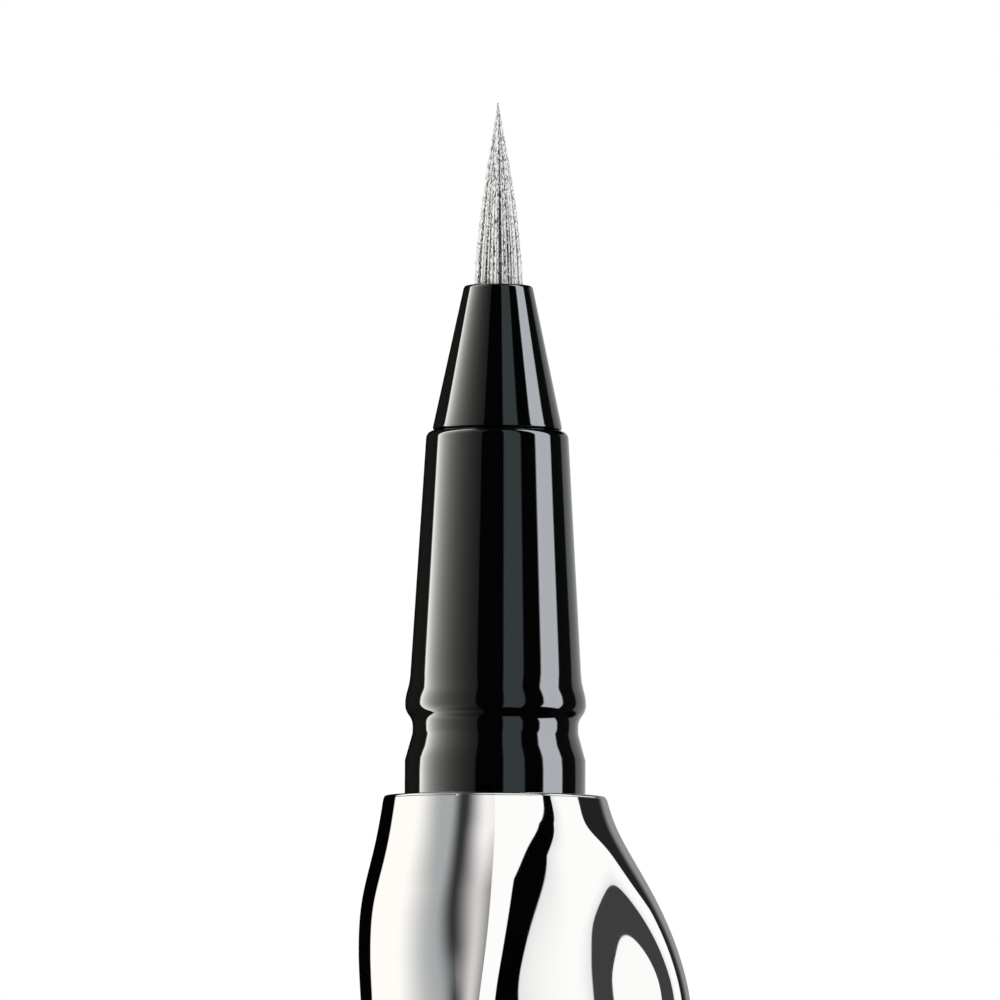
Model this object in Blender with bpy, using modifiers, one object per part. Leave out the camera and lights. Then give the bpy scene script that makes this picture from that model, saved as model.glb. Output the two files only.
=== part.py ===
"""Liquid eyeliner pen: a brush tip on a black front section, a sculpted chrome
body that holds the ink tank, and its cap pushed onto the tail as a stand.

Metres, +Z up along the pen's axis. The origin is the centre of the cap's flat
foot. -Y is the front, and azimuths run from the front towards +X.
"""

import math
import random

import bmesh
import bpy
from mathutils import Vector

# Whole pen
BODY_LENGTH = 0.0747
CAP_LENGTH = 0.0380
RIM_RADIUS = 0.00510
FIT_GAP = 0.00015
SEAT_GAP = 0.0003
CUT_OVERRUN = 0.002
WELD_DISTANCE = 0.000001

# Black front section, upwards from the chrome rim
BARREL_LENGTH = 0.0167
STEP_RADIUS = 0.00328
STEP_CORNER = 0.00035
TAPER_RADIUS = 0.00394
BARREL_BORE_RADIUS = 0.00255
SPIGOT_LENGTH = 0.0080

# Snap profile that the neck and the tail post share, out from their rims
COLLAR_RADIUS = 0.004145
COLLAR_LENGTH = 0.00156
COLLAR_DEPTH = 0.0025
GROOVE_RADIUS = 0.0038
GROOVE_OFFSET = 0.00298
GROOVE_LENGTH = 0.0005
BEAD_RISE = 0.00039
BEAD_LENGTH = 0.00055
BEAD_RUNOUT = 0.00073
BEAD_CORNER = 0.0004
SNAP_CLEARANCE = 0.00008
SNAP_RING_HEIGHT = 0.0009

# Nose cone and brush
CONE_LENGTH = 0.0066
CONE_BASE_RADIUS = 0.0030
CONE_SPIGOT_LENGTH = 0.0040
NOSE_RADIUS = 0.00156
NOSE_CORNER = 0.0002
NOSE_LAND_LENGTH = 0.0015
BRUSH_LENGTH = 0.00835
BRUSH_RADIUS = 0.00115
BRUSH_ROOT_DEPTH = 0.0010
BRUSH_SLICE_LENGTH = 0.0016
STRAND_RADIUS = 0.000052
STRAND_SPACING = 0.000119
HOLDER_WALL = 0.00022
HOLDER_LENGTH = 0.0062

# Ink feed
FEED_ROD_RADIUS = 0.00055
FEED_TUBE_WALL = 0.0002
FEED_DIP = 0.0030
COLLECTOR_ROOT_RADIUS = 0.00145
COLLECTOR_FIN_THICKNESS = 0.0006
NIPPLE_RADIUS = 0.00190
NIPPLE_LENGTH = 0.0034
GASKET_WIRE_RADIUS = 0.00025

# Ink tank and the barrel around it
BORE_RADIUS = 0.00430
SLEEVE_WALL = 0.0007
TANK_RADIUS = 0.0032
TANK_WALL = 0.0006
TANK_PLUG_DEPTH = 0.0030
TANK_FLANGE_LENGTH = 0.0010
BALL_RADIUS = 0.0020

# Tail post
POST_LENGTH = 0.0100
POST_END_RADIUS = 0.0036
POST_CORNER = 0.0008
POST_WALL = 0.0010
TAIL_LAND_LENGTH = 0.0047
TAIL_SPIGOT_LENGTH = 0.0024

# Cap
CAP_BORE_RADIUS = 0.00500
CAP_LIP_LENGTH = 0.0020
FOOT_RADIUS = 0.0056
FOOT_CORNER = 0.0004
FOOT_THICKNESS = 0.0012
FOOT_SPIGOT_LENGTH = 0.0018
LINER_STEP_HEIGHT = 0.0210
GUIDE_RADIUS = 0.00375
SEAL_WALL = 0.00055
SEAL_FLOOR = 0.0008
SEAL_LIP_HEIGHT = 0.0216
SEAL_FLANGE_RADIUS = 0.0044
SEAL_FLANGE_THICKNESS = 0.0006
SPRING_LENGTH = 0.0030
SPRING_RADIUS = 0.0030
SPRING_WIRE_RADIUS = 0.00018
SPRING_TURNS = 3

# Counts
ROUND_STEPS = 32
INNER_STEPS = 20
SECTION_POINTS = 36
BODY_RINGS = 24
CAP_RINGS = 12
CORNER_STEPS = 2
COLLECTOR_FINS = 8
STRAND_SIDES = 3
STRANDS = 300
SPRING_POINTS_PER_TURN = 10

# Levels along the pen
TAIL_Z = CAP_LENGTH + SEAT_GAP
RIM_Z = TAIL_Z + BODY_LENGTH
STEP_Z = RIM_Z + BARREL_LENGTH
NOSE_Z = STEP_Z + CONE_LENGTH
TIP_Z = NOSE_Z + BRUSH_LENGTH
BARREL_END_Z = RIM_Z - COLLAR_DEPTH - SPIGOT_LENGTH
TANK_TOP_Z = BARREL_END_Z - SEAT_GAP
SHOULDER_Z = TAIL_Z + TAIL_LAND_LENGTH
SLEEVE_END_Z = SHOULDER_Z + SEAT_GAP
TANK_END_Z = SLEEVE_END_Z + TAIL_SPIGOT_LENGTH + SEAT_GAP + TANK_FLANGE_LENGTH
TANK_FLOOR_Z = TANK_END_Z + TANK_PLUG_DEPTH
NIPPLE_END_Z = TANK_TOP_Z - NIPPLE_LENGTH
FEED_END_Z = NIPPLE_END_Z - FEED_DIP
SLICE_TOP_Z = NOSE_Z - BRUSH_ROOT_DEPTH
SLICE_END_Z = SLICE_TOP_Z - BRUSH_SLICE_LENGTH
HOLDER_TOP_Z = NOSE_Z - NOSE_LAND_LENGTH - SEAT_GAP
HOLDER_END_Z = HOLDER_TOP_Z - HOLDER_LENGTH
COLLECTOR_TOP_Z = STEP_Z - CONE_SPIGOT_LENGTH - SEAT_GAP
FOOT_TOP_Z = FOOT_THICKNESS + FOOT_SPIGOT_LENGTH
SEAL_FLANGE_Z = FOOT_TOP_Z + SEAT_GAP + SPRING_LENGTH + SEAT_GAP

# Radii that follow from what they fit
SLEEVE_RADIUS = BORE_RADIUS - FIT_GAP
SLEEVE_BORE_RADIUS = SLEEVE_RADIUS - SLEEVE_WALL
SPIGOT_RADIUS = SLEEVE_BORE_RADIUS - FIT_GAP
TANK_BORE_RADIUS = TANK_RADIUS - TANK_WALL
SLICE_RADIUS = BRUSH_RADIUS
NOSE_HOLE_RADIUS = SLICE_RADIUS + FIT_GAP
HOLDER_BORE_RADIUS = SLICE_RADIUS + FIT_GAP
HOLDER_RADIUS = HOLDER_BORE_RADIUS + HOLDER_WALL
CONE_BORE_RADIUS = HOLDER_RADIUS + FIT_GAP
FEED_TUBE_BORE_RADIUS = FEED_ROD_RADIUS + FIT_GAP
FEED_TUBE_RADIUS = FEED_TUBE_BORE_RADIUS + FEED_TUBE_WALL
COLLECTOR_BORE_RADIUS = FEED_TUBE_RADIUS + FIT_GAP
LINER_RADIUS = CAP_BORE_RADIUS - FIT_GAP
MOUTH_BORE_RADIUS = COLLAR_RADIUS + FIT_GAP
SEAL_RADIUS = GUIDE_RADIUS - FIT_GAP
SEAL_BORE_RADIUS = SEAL_RADIUS - SEAL_WALL

# Chrome body, from the front rim down. Columns: share of the body's length,
# then as shares of the rim's radius the round core, its shift to +X and +Y and
# the fin's height, then the fin's azimuth in degrees and its sharpness, then
# the front ridge's height share. The core, fin and ridge add up to one section.
BODY_SECTION_SHARES = (
    (0.000, 1.000, 0.000, 0.000, 0.000, 98.0, 3.0, 0.000),
    (0.016, 1.036, -0.004, 0.000, 0.040, 98.0, 3.0, 0.000),
    (0.030, 1.062, -0.018, -0.010, 0.140, 99.0, 3.0, 0.004),
    (0.066, 1.104, -0.096, -0.040, 0.510, 104.0, 3.2, 0.030),
    (0.096, 1.086, -0.134, -0.055, 0.790, 108.0, 3.6, 0.050),
    (0.127, 1.044, -0.150, -0.060, 0.990, 112.0, 4.0, 0.056),
    (0.180, 1.020, -0.130, -0.060, 1.100, 121.0, 3.9, 0.050),
    (0.290, 1.000, -0.060, -0.020, 0.900, 148.0, 3.0, 0.020),
    (0.430, 1.000, 0.000, 0.000, 0.520, 190.0, 2.5, 0.000),
    (0.590, 1.020, 0.000, 0.000, 0.380, 235.0, 2.2, 0.000),
    (0.750, 1.030, 0.000, 0.000, 0.500, 285.0, 2.2, 0.000),
    (0.890, 1.020, 0.000, 0.000, 0.240, 325.0, 2.0, 0.000),
    (1.000, 1.000, 0.000, 0.000, 0.000, 345.0, 2.0, 0.000),
)
FRONT_RIDGE_AZIMUTH = 2.0
FRONT_RIDGE_SHARPNESS = 22.0
RING_CROWDING = 1.4

# Chrome cap, from its mouth down to its foot, in the same columns
CAP_SECTION_SHARES = (
    (0.000, 1.000, 0.000, 0.000, 0.000, 345.0, 2.0, 0.000),
    (0.060, 1.070, 0.000, 0.000, 0.020, 350.0, 2.0, 0.000),
    (0.300, 1.150, 0.000, 0.000, 0.220, 375.0, 2.0, 0.000),
    (0.620, 1.180, 0.000, 0.000, 0.180, 420.0, 2.0, 0.000),
    (0.880, 1.130, 0.000, 0.000, 0.030, 450.0, 2.0, 0.000),
    (1.000, 1.098, 0.000, 0.000, 0.000, 460.0, 2.0, 0.000),
)

# Brush outline, as shares of its free length and of its radius: full at the
# root, then two straight runs to the strands that form the point
TUFT_KNOT_SHARES = ((0.0, 1.0), (0.4, 0.70), (0.8, 0.26), (1.0, 0.26))
OUTER_STRAND_END_SHARE = 0.80
STRAND_END_SCATTER_SHARE = 0.05
STRAND_ROOT_SHARE = 0.25

SEED = 7


def clear_scene():
    """Empty the scene and return the part's collection and the cutters'."""
    for thing in list(bpy.data.objects):
        bpy.data.objects.remove(thing, do_unlink=True)
    collections = []
    for name in ("liquid_eyeliner_pen", "cutters"):
        collection = bpy.data.collections.new(name)
        bpy.context.scene.collection.children.link(collection)
        collections.append(collection)
    return collections


def finish(name, colour, roughness, metallic=0.0):
    """A Principled material for one sub-part."""
    material = bpy.data.materials.new(name)
    material.use_nodes = True
    shader = material.node_tree.nodes["Principled BSDF"]
    shader.inputs["Base Color"].default_value = (*colour, 1.0)
    shader.inputs["Roughness"].default_value = roughness
    shader.inputs["Metallic"].default_value = metallic
    return material


def place(mesh, name, material, collection):
    """Put a mesh in a collection as the object of one sub-part."""
    thing = bpy.data.objects.new(name, mesh)
    thing.data.materials.append(material)
    collection.objects.link(thing)
    return thing


def shade(thing):
    """Smooth shading that keeps true edges sharp."""
    thing.data.shade_smooth()
    thing.data.set_sharp_from_angle(angle=math.radians(35.0))


def rounded(corners):
    """Points of a profile whose corners (radius, z, fillet) are rounded."""
    points = []
    last = len(corners) - 1
    for index, (radius, z, fillet) in enumerate(corners):
        here = Vector((radius, z))
        if not fillet or index in (0, last):
            points.append(here)
            continue
        before = Vector(corners[index - 1][:2]) - here
        after = Vector(corners[index + 1][:2]) - here
        half_angle = before.angle(after) / 2.0
        reach = min(fillet / math.tan(half_angle), before.length / 2.0, after.length / 2.0)
        start = here + before.normalized() * reach
        end = here + after.normalized() * reach
        for step in range(CORNER_STEPS + 1):
            share = step / CORNER_STEPS
            points.append(start.lerp(here, share).lerp(here.lerp(end, share), share))
    return points


def turned(name, corners, material, collection, steps=INNER_STEPS, ring=True):
    """A turned piece. A ring's profile closes on itself; others end on the axis."""
    points = rounded(corners)
    sketch = bmesh.new()
    line = [sketch.verts.new((point.x, 0.0, point.y)) for point in points]
    for start, end in zip(line, line[1:]):
        sketch.edges.new((start, end))
    if ring:
        sketch.edges.new((line[-1], line[0]))
    mesh = bpy.data.meshes.new(name)
    sketch.to_mesh(mesh)
    sketch.free()
    thing = place(mesh, name, material, collection)
    screw = thing.modifiers.new("turn", "SCREW")
    screw.axis = "Z"
    screw.steps = steps
    screw.render_steps = steps
    screw.use_merge_vertices = True
    screw.merge_threshold = WELD_DISTANCE
    screw.use_smooth_shade = True
    return thing


def tube(name, radius, bore, bottom, top, material, collection, steps=INNER_STEPS):
    """A plain turned tube."""
    corners = [(radius, top, 0), (radius, bottom, 0), (bore, bottom, 0), (bore, top, 0)]
    return turned(name, corners, material, collection, steps)


def blend(rows, share):
    """The row at a share along a table, on a smooth curve through its rows."""
    index = max(1, min(len(rows) - 1, sum(row[0] <= share for row in rows)))
    start, end = rows[index - 1], rows[index]
    width = end[0] - start[0]
    along = (share - start[0]) / width

    def slope(at, column):
        """The curve's slope at one row of the table."""
        low, high = rows[max(at - 1, 0)], rows[min(at + 1, len(rows) - 1)]
        return (high[column] - low[column]) / (high[0] - low[0])

    values = []
    for column in range(1, len(start)):
        tangents = slope(index - 1, column) * width, slope(index, column) * width
        value = (2 * along**3 - 3 * along**2 + 1) * start[column]
        value += (along**3 - 2 * along**2 + along) * tangents[0]
        value += (3 * along**2 - 2 * along**3) * end[column]
        value += (along**3 - along**2) * tangents[1]
        values.append(value)
    return values


def lobe(azimuth, centre, sharpness):
    """A smooth lobe of height one around an azimuth given in degrees."""
    return math.exp(sharpness * (math.cos(azimuth - math.radians(centre)) - 1.0))


def section_radius(rows, share, azimuth):
    """Radius of the chrome surface at a share down its length."""
    core, shift_x, shift_y, fin, fin_azimuth, sharpness, ridge = blend(rows, share)
    towards = shift_x * math.sin(azimuth) - shift_y * math.cos(azimuth)
    shift_squared = shift_x**2 + shift_y**2
    radius = towards + math.sqrt(core**2 - shift_squared + towards**2)
    radius += max(fin, 0.0) * lobe(azimuth, fin_azimuth, sharpness)
    radius += max(ridge, 0.0) * lobe(azimuth, FRONT_RIDGE_AZIMUTH, FRONT_RIDGE_SHARPNESS)
    return radius * RIM_RADIUS


def loft(name, rows, top, length, rings, crowding, material, collection):
    """A closed solid through the sections of a table, from its top down."""
    cage = bmesh.new()
    loops = []
    for ring in range(rings + 1):
        share = (ring / rings) ** crowding
        loop = []
        for point in range(SECTION_POINTS):
            azimuth = 2.0 * math.pi * point / SECTION_POINTS
            radius = section_radius(rows, share, azimuth)
            x = radius * math.sin(azimuth)
            y = -radius * math.cos(azimuth)
            loop.append(cage.verts.new((x, y, top - share * length)))
        loops.append(loop)
    for upper, lower in zip(loops, loops[1:]):
        for point in range(SECTION_POINTS):
            following = (point + 1) % SECTION_POINTS
            cage.faces.new((upper[point], lower[point], lower[following], upper[following]))
    cage.faces.new(loops[0])
    cage.faces.new(reversed(loops[-1]))
    bmesh.ops.recalc_face_normals(cage, faces=cage.faces)
    mesh = bpy.data.meshes.new(name)
    cage.to_mesh(mesh)
    cage.free()
    thing = place(mesh, name, material, collection)
    shade(thing)
    return thing


def combine(thing, tool, operation):
    """Cut or join a piece with another, which becomes a hidden cutter."""
    tool.hide_render = True
    tool.display_type = "WIRE"
    change = thing.modifiers.new(tool.name, "BOOLEAN")
    change.operation = operation
    change.solver = "EXACT"
    change.object = tool


def snap_outline(rim, way):
    """Corners of the neck's collar, groove and bead, out from a rim."""
    groove_end = GROOVE_OFFSET + GROOVE_LENGTH
    bead_start = groove_end + BEAD_RISE
    bead_end = bead_start + BEAD_LENGTH
    places = (
        (COLLAR_RADIUS, COLLAR_LENGTH, 0),
        (GROOVE_RADIUS, GROOVE_OFFSET, 0),
        (GROOVE_RADIUS, groove_end, 0),
        (COLLAR_RADIUS, bead_start, BEAD_CORNER),
        (COLLAR_RADIUS, bead_end, BEAD_CORNER),
        (TAPER_RADIUS, bead_end + BEAD_RUNOUT, BEAD_CORNER),
    )
    return [(radius, rim + way * offset, fillet) for radius, offset, fillet in places]


def front_section(collection):
    """The black barrel with its snap neck, and the nose cone above it."""
    black = finish("black_gloss_plastic", (0.012, 0.012, 0.012), 0.08)
    neck = list(reversed(snap_outline(RIM_Z, 1.0)))
    outer = [(BARREL_BORE_RADIUS, STEP_Z, 0), (STEP_RADIUS, STEP_Z, STEP_CORNER)]
    outer += neck
    outer += [
        (COLLAR_RADIUS, RIM_Z - COLLAR_DEPTH, 0),
        (SPIGOT_RADIUS, RIM_Z - COLLAR_DEPTH, 0),
        (SPIGOT_RADIUS, BARREL_END_Z, 0),
        (BARREL_BORE_RADIUS, BARREL_END_Z, 0),
    ]
    turned("front_barrel", outer, black, collection, ROUND_STEPS)

    cone_black = finish("nose_gloss_plastic", (0.012, 0.012, 0.012), 0.08)
    spigot = BARREL_BORE_RADIUS - FIT_GAP
    cone_base = STEP_Z + SEAT_GAP
    cone_end = STEP_Z - CONE_SPIGOT_LENGTH
    land = NOSE_Z - NOSE_LAND_LENGTH
    corners = [
        (NOSE_HOLE_RADIUS, NOSE_Z, 0),
        (NOSE_RADIUS, NOSE_Z, NOSE_CORNER),
        (CONE_BASE_RADIUS, cone_base, 0),
        (spigot, cone_base, 0),
        (spigot, cone_end, 0),
        (CONE_BORE_RADIUS, cone_end, 0),
        (CONE_BORE_RADIUS, land, 0),
        (NOSE_HOLE_RADIUS, land, 0),
    ]
    turned("nose_cone", corners, cone_black, collection, ROUND_STEPS)


def strand_places():
    """Roots of the brush strands: the inner places of a triangular grid."""
    reach = BRUSH_RADIUS - STRAND_RADIUS - STRAND_SPACING / 4.0
    row_pitch = STRAND_SPACING * math.sqrt(3.0) / 2.0
    rows = int(reach / row_pitch) + 1
    places = []
    for row in range(-rows, rows + 1):
        for column in range(-rows, rows + 1):
            x = (column + (row % 2) / 2.0) * STRAND_SPACING
            y = row * row_pitch
            if math.hypot(x, y) < reach:
                places.append((x, y))
    places.sort(key=lambda spot: (round(math.hypot(*spot) / STRAND_SPACING, 6), spot))
    return places[:STRANDS]


def brush(collection):
    """The bristles, fused to a slice of their root, and the holder around it."""
    hair = finish("brush_nylon", (0.45, 0.43, 0.41), 0.45)
    tuft = turned(
        "brush_tuft",
        [
            (0.0, SLICE_TOP_Z, 0),
            (SLICE_RADIUS, SLICE_TOP_Z, 0),
            (SLICE_RADIUS, SLICE_END_Z, 0),
            (0.0, SLICE_END_Z, 0),
        ],
        hair,
        collection,
        ring=False,
    )
    root_z = SLICE_TOP_Z - BRUSH_SLICE_LENGTH * STRAND_ROOT_SHARE
    free_length = TIP_Z - SLICE_TOP_Z
    scatter = random.Random(SEED)
    strands = bmesh.new()
    for x, y in strand_places():
        outward = math.hypot(x, y) / BRUSH_RADIUS
        end = 1.0 - (1.0 - OUTER_STRAND_END_SHARE) * outward
        end -= STRAND_END_SCATTER_SHARE * outward * scatter.random()
        levels = [(root_z, 1.0)]
        for share, scale in TUFT_KNOT_SHARES[1:]:
            if share < end:
                levels.append((SLICE_TOP_Z + share * free_length, scale))
        rings = []
        for z, scale in levels:
            ring = []
            for side in range(STRAND_SIDES):
                turn = 2.0 * math.pi * side / STRAND_SIDES
                across = (x + STRAND_RADIUS * math.cos(turn)) * scale
                along = (y + STRAND_RADIUS * math.sin(turn)) * scale
                ring.append(strands.verts.new((across, along, z)))
            rings.append(ring)
        tip_scale = taper(end)
        tip = strands.verts.new((x * tip_scale, y * tip_scale, SLICE_TOP_Z + end * free_length))
        strands.faces.new(reversed(rings[0]))
        for lower, upper in zip(rings, rings[1:]):
            for side in range(STRAND_SIDES):
                following = (side + 1) % STRAND_SIDES
                strands.faces.new((lower[side], lower[following], upper[following], upper[side]))
        for side in range(STRAND_SIDES):
            strands.faces.new((rings[-1][side], rings[-1][(side + 1) % STRAND_SIDES], tip))
    mesh = bpy.data.meshes.new("brush_strands")
    strands.to_mesh(mesh)
    strands.free()
    combine(tuft, place(mesh, "brush_strands", hair, CUTTERS), "UNION")

    ferrule = finish("holder_plastic", (0.75, 0.75, 0.72), 0.4)
    seat = SLICE_END_Z - SEAT_GAP
    corners = [
        (HOLDER_RADIUS, HOLDER_TOP_Z, 0),
        (HOLDER_RADIUS, HOLDER_END_Z, 0),
        (FEED_TUBE_BORE_RADIUS, HOLDER_END_Z, 0),
        (FEED_TUBE_BORE_RADIUS, seat, 0),
        (HOLDER_BORE_RADIUS, seat, 0),
        (HOLDER_BORE_RADIUS, HOLDER_TOP_Z, 0),
    ]
    turned("brush_holder", corners, ferrule, collection)


def taper(share):
    """Scale of the tuft at a share of its free length."""
    for (low, wide), (high, narrow) in zip(TUFT_KNOT_SHARES, TUFT_KNOT_SHARES[1:]):
        if share <= high:
            return wide + (narrow - wide) * (share - low) / (high - low)
    return TUFT_KNOT_SHARES[-1][1]


def ink_feed(collection):
    """Feed rod, its tube, the finned collector and the gasket on its nipple."""
    fibre = finish("feed_fibre", (0.85, 0.83, 0.78), 0.9)
    rod_top = SLICE_END_Z - SEAT_GAP
    corners = [
        (0.0, rod_top, 0),
        (FEED_ROD_RADIUS, rod_top, 0),
        (FEED_ROD_RADIUS, FEED_END_Z, 0),
        (0.0, FEED_END_Z, 0),
    ]
    turned("feed_rod", corners, fibre, collection, ring=False)

    steel = finish("feed_tube_steel", (0.7, 0.7, 0.7), 0.25, 1.0)
    tube_top = HOLDER_END_Z - SEAT_GAP
    tube(
        "feed_tube",
        FEED_TUBE_RADIUS,
        FEED_TUBE_BORE_RADIUS,
        NIPPLE_END_Z,
        tube_top,
        steel,
        collection,
    )

    comb = finish("collector_plastic", (0.8, 0.8, 0.78), 0.35)
    fin_radius = BARREL_BORE_RADIUS - FIT_GAP
    finned = COLLECTOR_TOP_Z - BARREL_END_Z
    pitch = finned / COLLECTOR_FINS
    corners = [(COLLECTOR_BORE_RADIUS, COLLECTOR_TOP_Z, 0)]
    for fin in range(COLLECTOR_FINS):
        fin_top = COLLECTOR_TOP_Z - fin * pitch
        fin_end = fin_top - COLLECTOR_FIN_THICKNESS
        neck_radius = COLLECTOR_ROOT_RADIUS if fin < COLLECTOR_FINS - 1 else NIPPLE_RADIUS
        corners += [(fin_radius, fin_top, 0), (fin_radius, fin_end, 0)]
        corners.append((neck_radius, fin_end, 0))
        if fin < COLLECTOR_FINS - 1:
            corners.append((neck_radius, fin_top - pitch, 0))
    corners += [(NIPPLE_RADIUS, NIPPLE_END_Z, 0), (COLLECTOR_BORE_RADIUS, NIPPLE_END_Z, 0)]
    turned("ink_collector", corners, comb, collection)

    rubber = finish("gasket_rubber", (0.02, 0.02, 0.02), 0.8)
    ring_radius = (NIPPLE_RADIUS + TANK_BORE_RADIUS) / 2.0
    ring_z = TANK_TOP_Z - NIPPLE_LENGTH / 2.0
    bpy.ops.mesh.primitive_torus_add(
        major_segments=INNER_STEPS,
        minor_segments=8,
        major_radius=ring_radius,
        minor_radius=GASKET_WIRE_RADIUS,
        location=(0.0, 0.0, ring_z),
    )
    adopt("collector_gasket", rubber, collection)


def adopt(name, material, collection):
    """Name the primitive just added and move it to a collection."""
    thing = bpy.context.object
    for home in list(thing.users_collection):
        home.objects.unlink(thing)
    collection.objects.link(thing)
    thing.name = name
    thing.data.materials.append(material)
    thing.data.shade_smooth()
    return thing


def ink_tank(collection):
    """The sleeve in the chrome body, the tank in it, its plug and its balls."""
    sleeve = finish("sleeve_plastic", (0.05, 0.05, 0.05), 0.5)
    sleeve_top = RIM_Z - COLLAR_DEPTH - SEAT_GAP
    tube(
        "inner_barrel",
        SLEEVE_RADIUS,
        SLEEVE_BORE_RADIUS,
        SLEEVE_END_Z,
        sleeve_top,
        sleeve,
        collection,
    )

    clear = finish("tank_polypropylene", (0.8, 0.8, 0.8), 0.3)
    tube("ink_tank", TANK_RADIUS, TANK_BORE_RADIUS, TANK_END_Z, TANK_TOP_Z, clear, collection)

    stopper = finish("tank_plug_plastic", (0.7, 0.7, 0.7), 0.4)
    plug = TANK_BORE_RADIUS - FIT_GAP
    flange_top = TANK_END_Z - SEAT_GAP
    corners = [
        (0.0, TANK_FLOOR_Z, 0),
        (plug, TANK_FLOOR_Z, 0),
        (plug, flange_top, 0),
        (TANK_RADIUS, flange_top, 0),
        (TANK_RADIUS, flange_top - TANK_FLANGE_LENGTH, 0),
        (0.0, flange_top - TANK_FLANGE_LENGTH, 0),
    ]
    turned("tank_plug", corners, stopper, collection, ring=False)

    lower_z = TANK_FLOOR_Z + SEAT_GAP + BALL_RADIUS
    heights = {"mixing_ball_lower": lower_z, "mixing_ball_upper": lower_z + 2 * BALL_RADIUS + SEAT_GAP}
    for name, z in heights.items():
        bpy.ops.mesh.primitive_uv_sphere_add(
            segments=16, ring_count=8, radius=BALL_RADIUS, location=(0.0, 0.0, z)
        )
        adopt(name, finish(name + "_steel", (0.6, 0.6, 0.6), 0.15, 1.0), collection)

    tail = finish("tail_gloss_plastic", (0.012, 0.012, 0.012), 0.1)
    post_end = TAIL_Z - POST_LENGTH
    spigot_top = SHOULDER_Z + TAIL_SPIGOT_LENGTH
    bore = SPIGOT_RADIUS - POST_WALL
    corners = [
        (0.0, post_end + POST_WALL, 0),
        (bore, post_end + POST_WALL, 0),
        (bore, spigot_top, 0),
        (SPIGOT_RADIUS, spigot_top, 0),
        (SPIGOT_RADIUS, SHOULDER_Z, 0),
        (COLLAR_RADIUS, SHOULDER_Z, 0),
        *snap_outline(TAIL_Z, -1.0),
        (POST_END_RADIUS, post_end, POST_CORNER),
        (0.0, post_end, 0),
    ]
    turned("tail_plug", corners, tail, collection, ring=False)


def chrome_body(collection):
    """The sculpted chrome shell with a straight bore."""
    chrome = finish("body_chrome", (0.9, 0.9, 0.9), 0.04, 1.0)
    shell = loft(
        "outer_shell",
        BODY_SECTION_SHARES,
        RIM_Z,
        BODY_LENGTH,
        BODY_RINGS,
        RING_CROWDING,
        chrome,
        collection,
    )
    corners = [
        (0.0, RIM_Z + CUT_OVERRUN, 0),
        (BORE_RADIUS, RIM_Z + CUT_OVERRUN, 0),
        (BORE_RADIUS, TAIL_Z - CUT_OVERRUN, 0),
        (0.0, TAIL_Z - CUT_OVERRUN, 0),
    ]
    bore = turned("body_bore", corners, chrome, CUTTERS, ROUND_STEPS, ring=False)
    combine(shell, bore, "DIFFERENCE")


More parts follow.
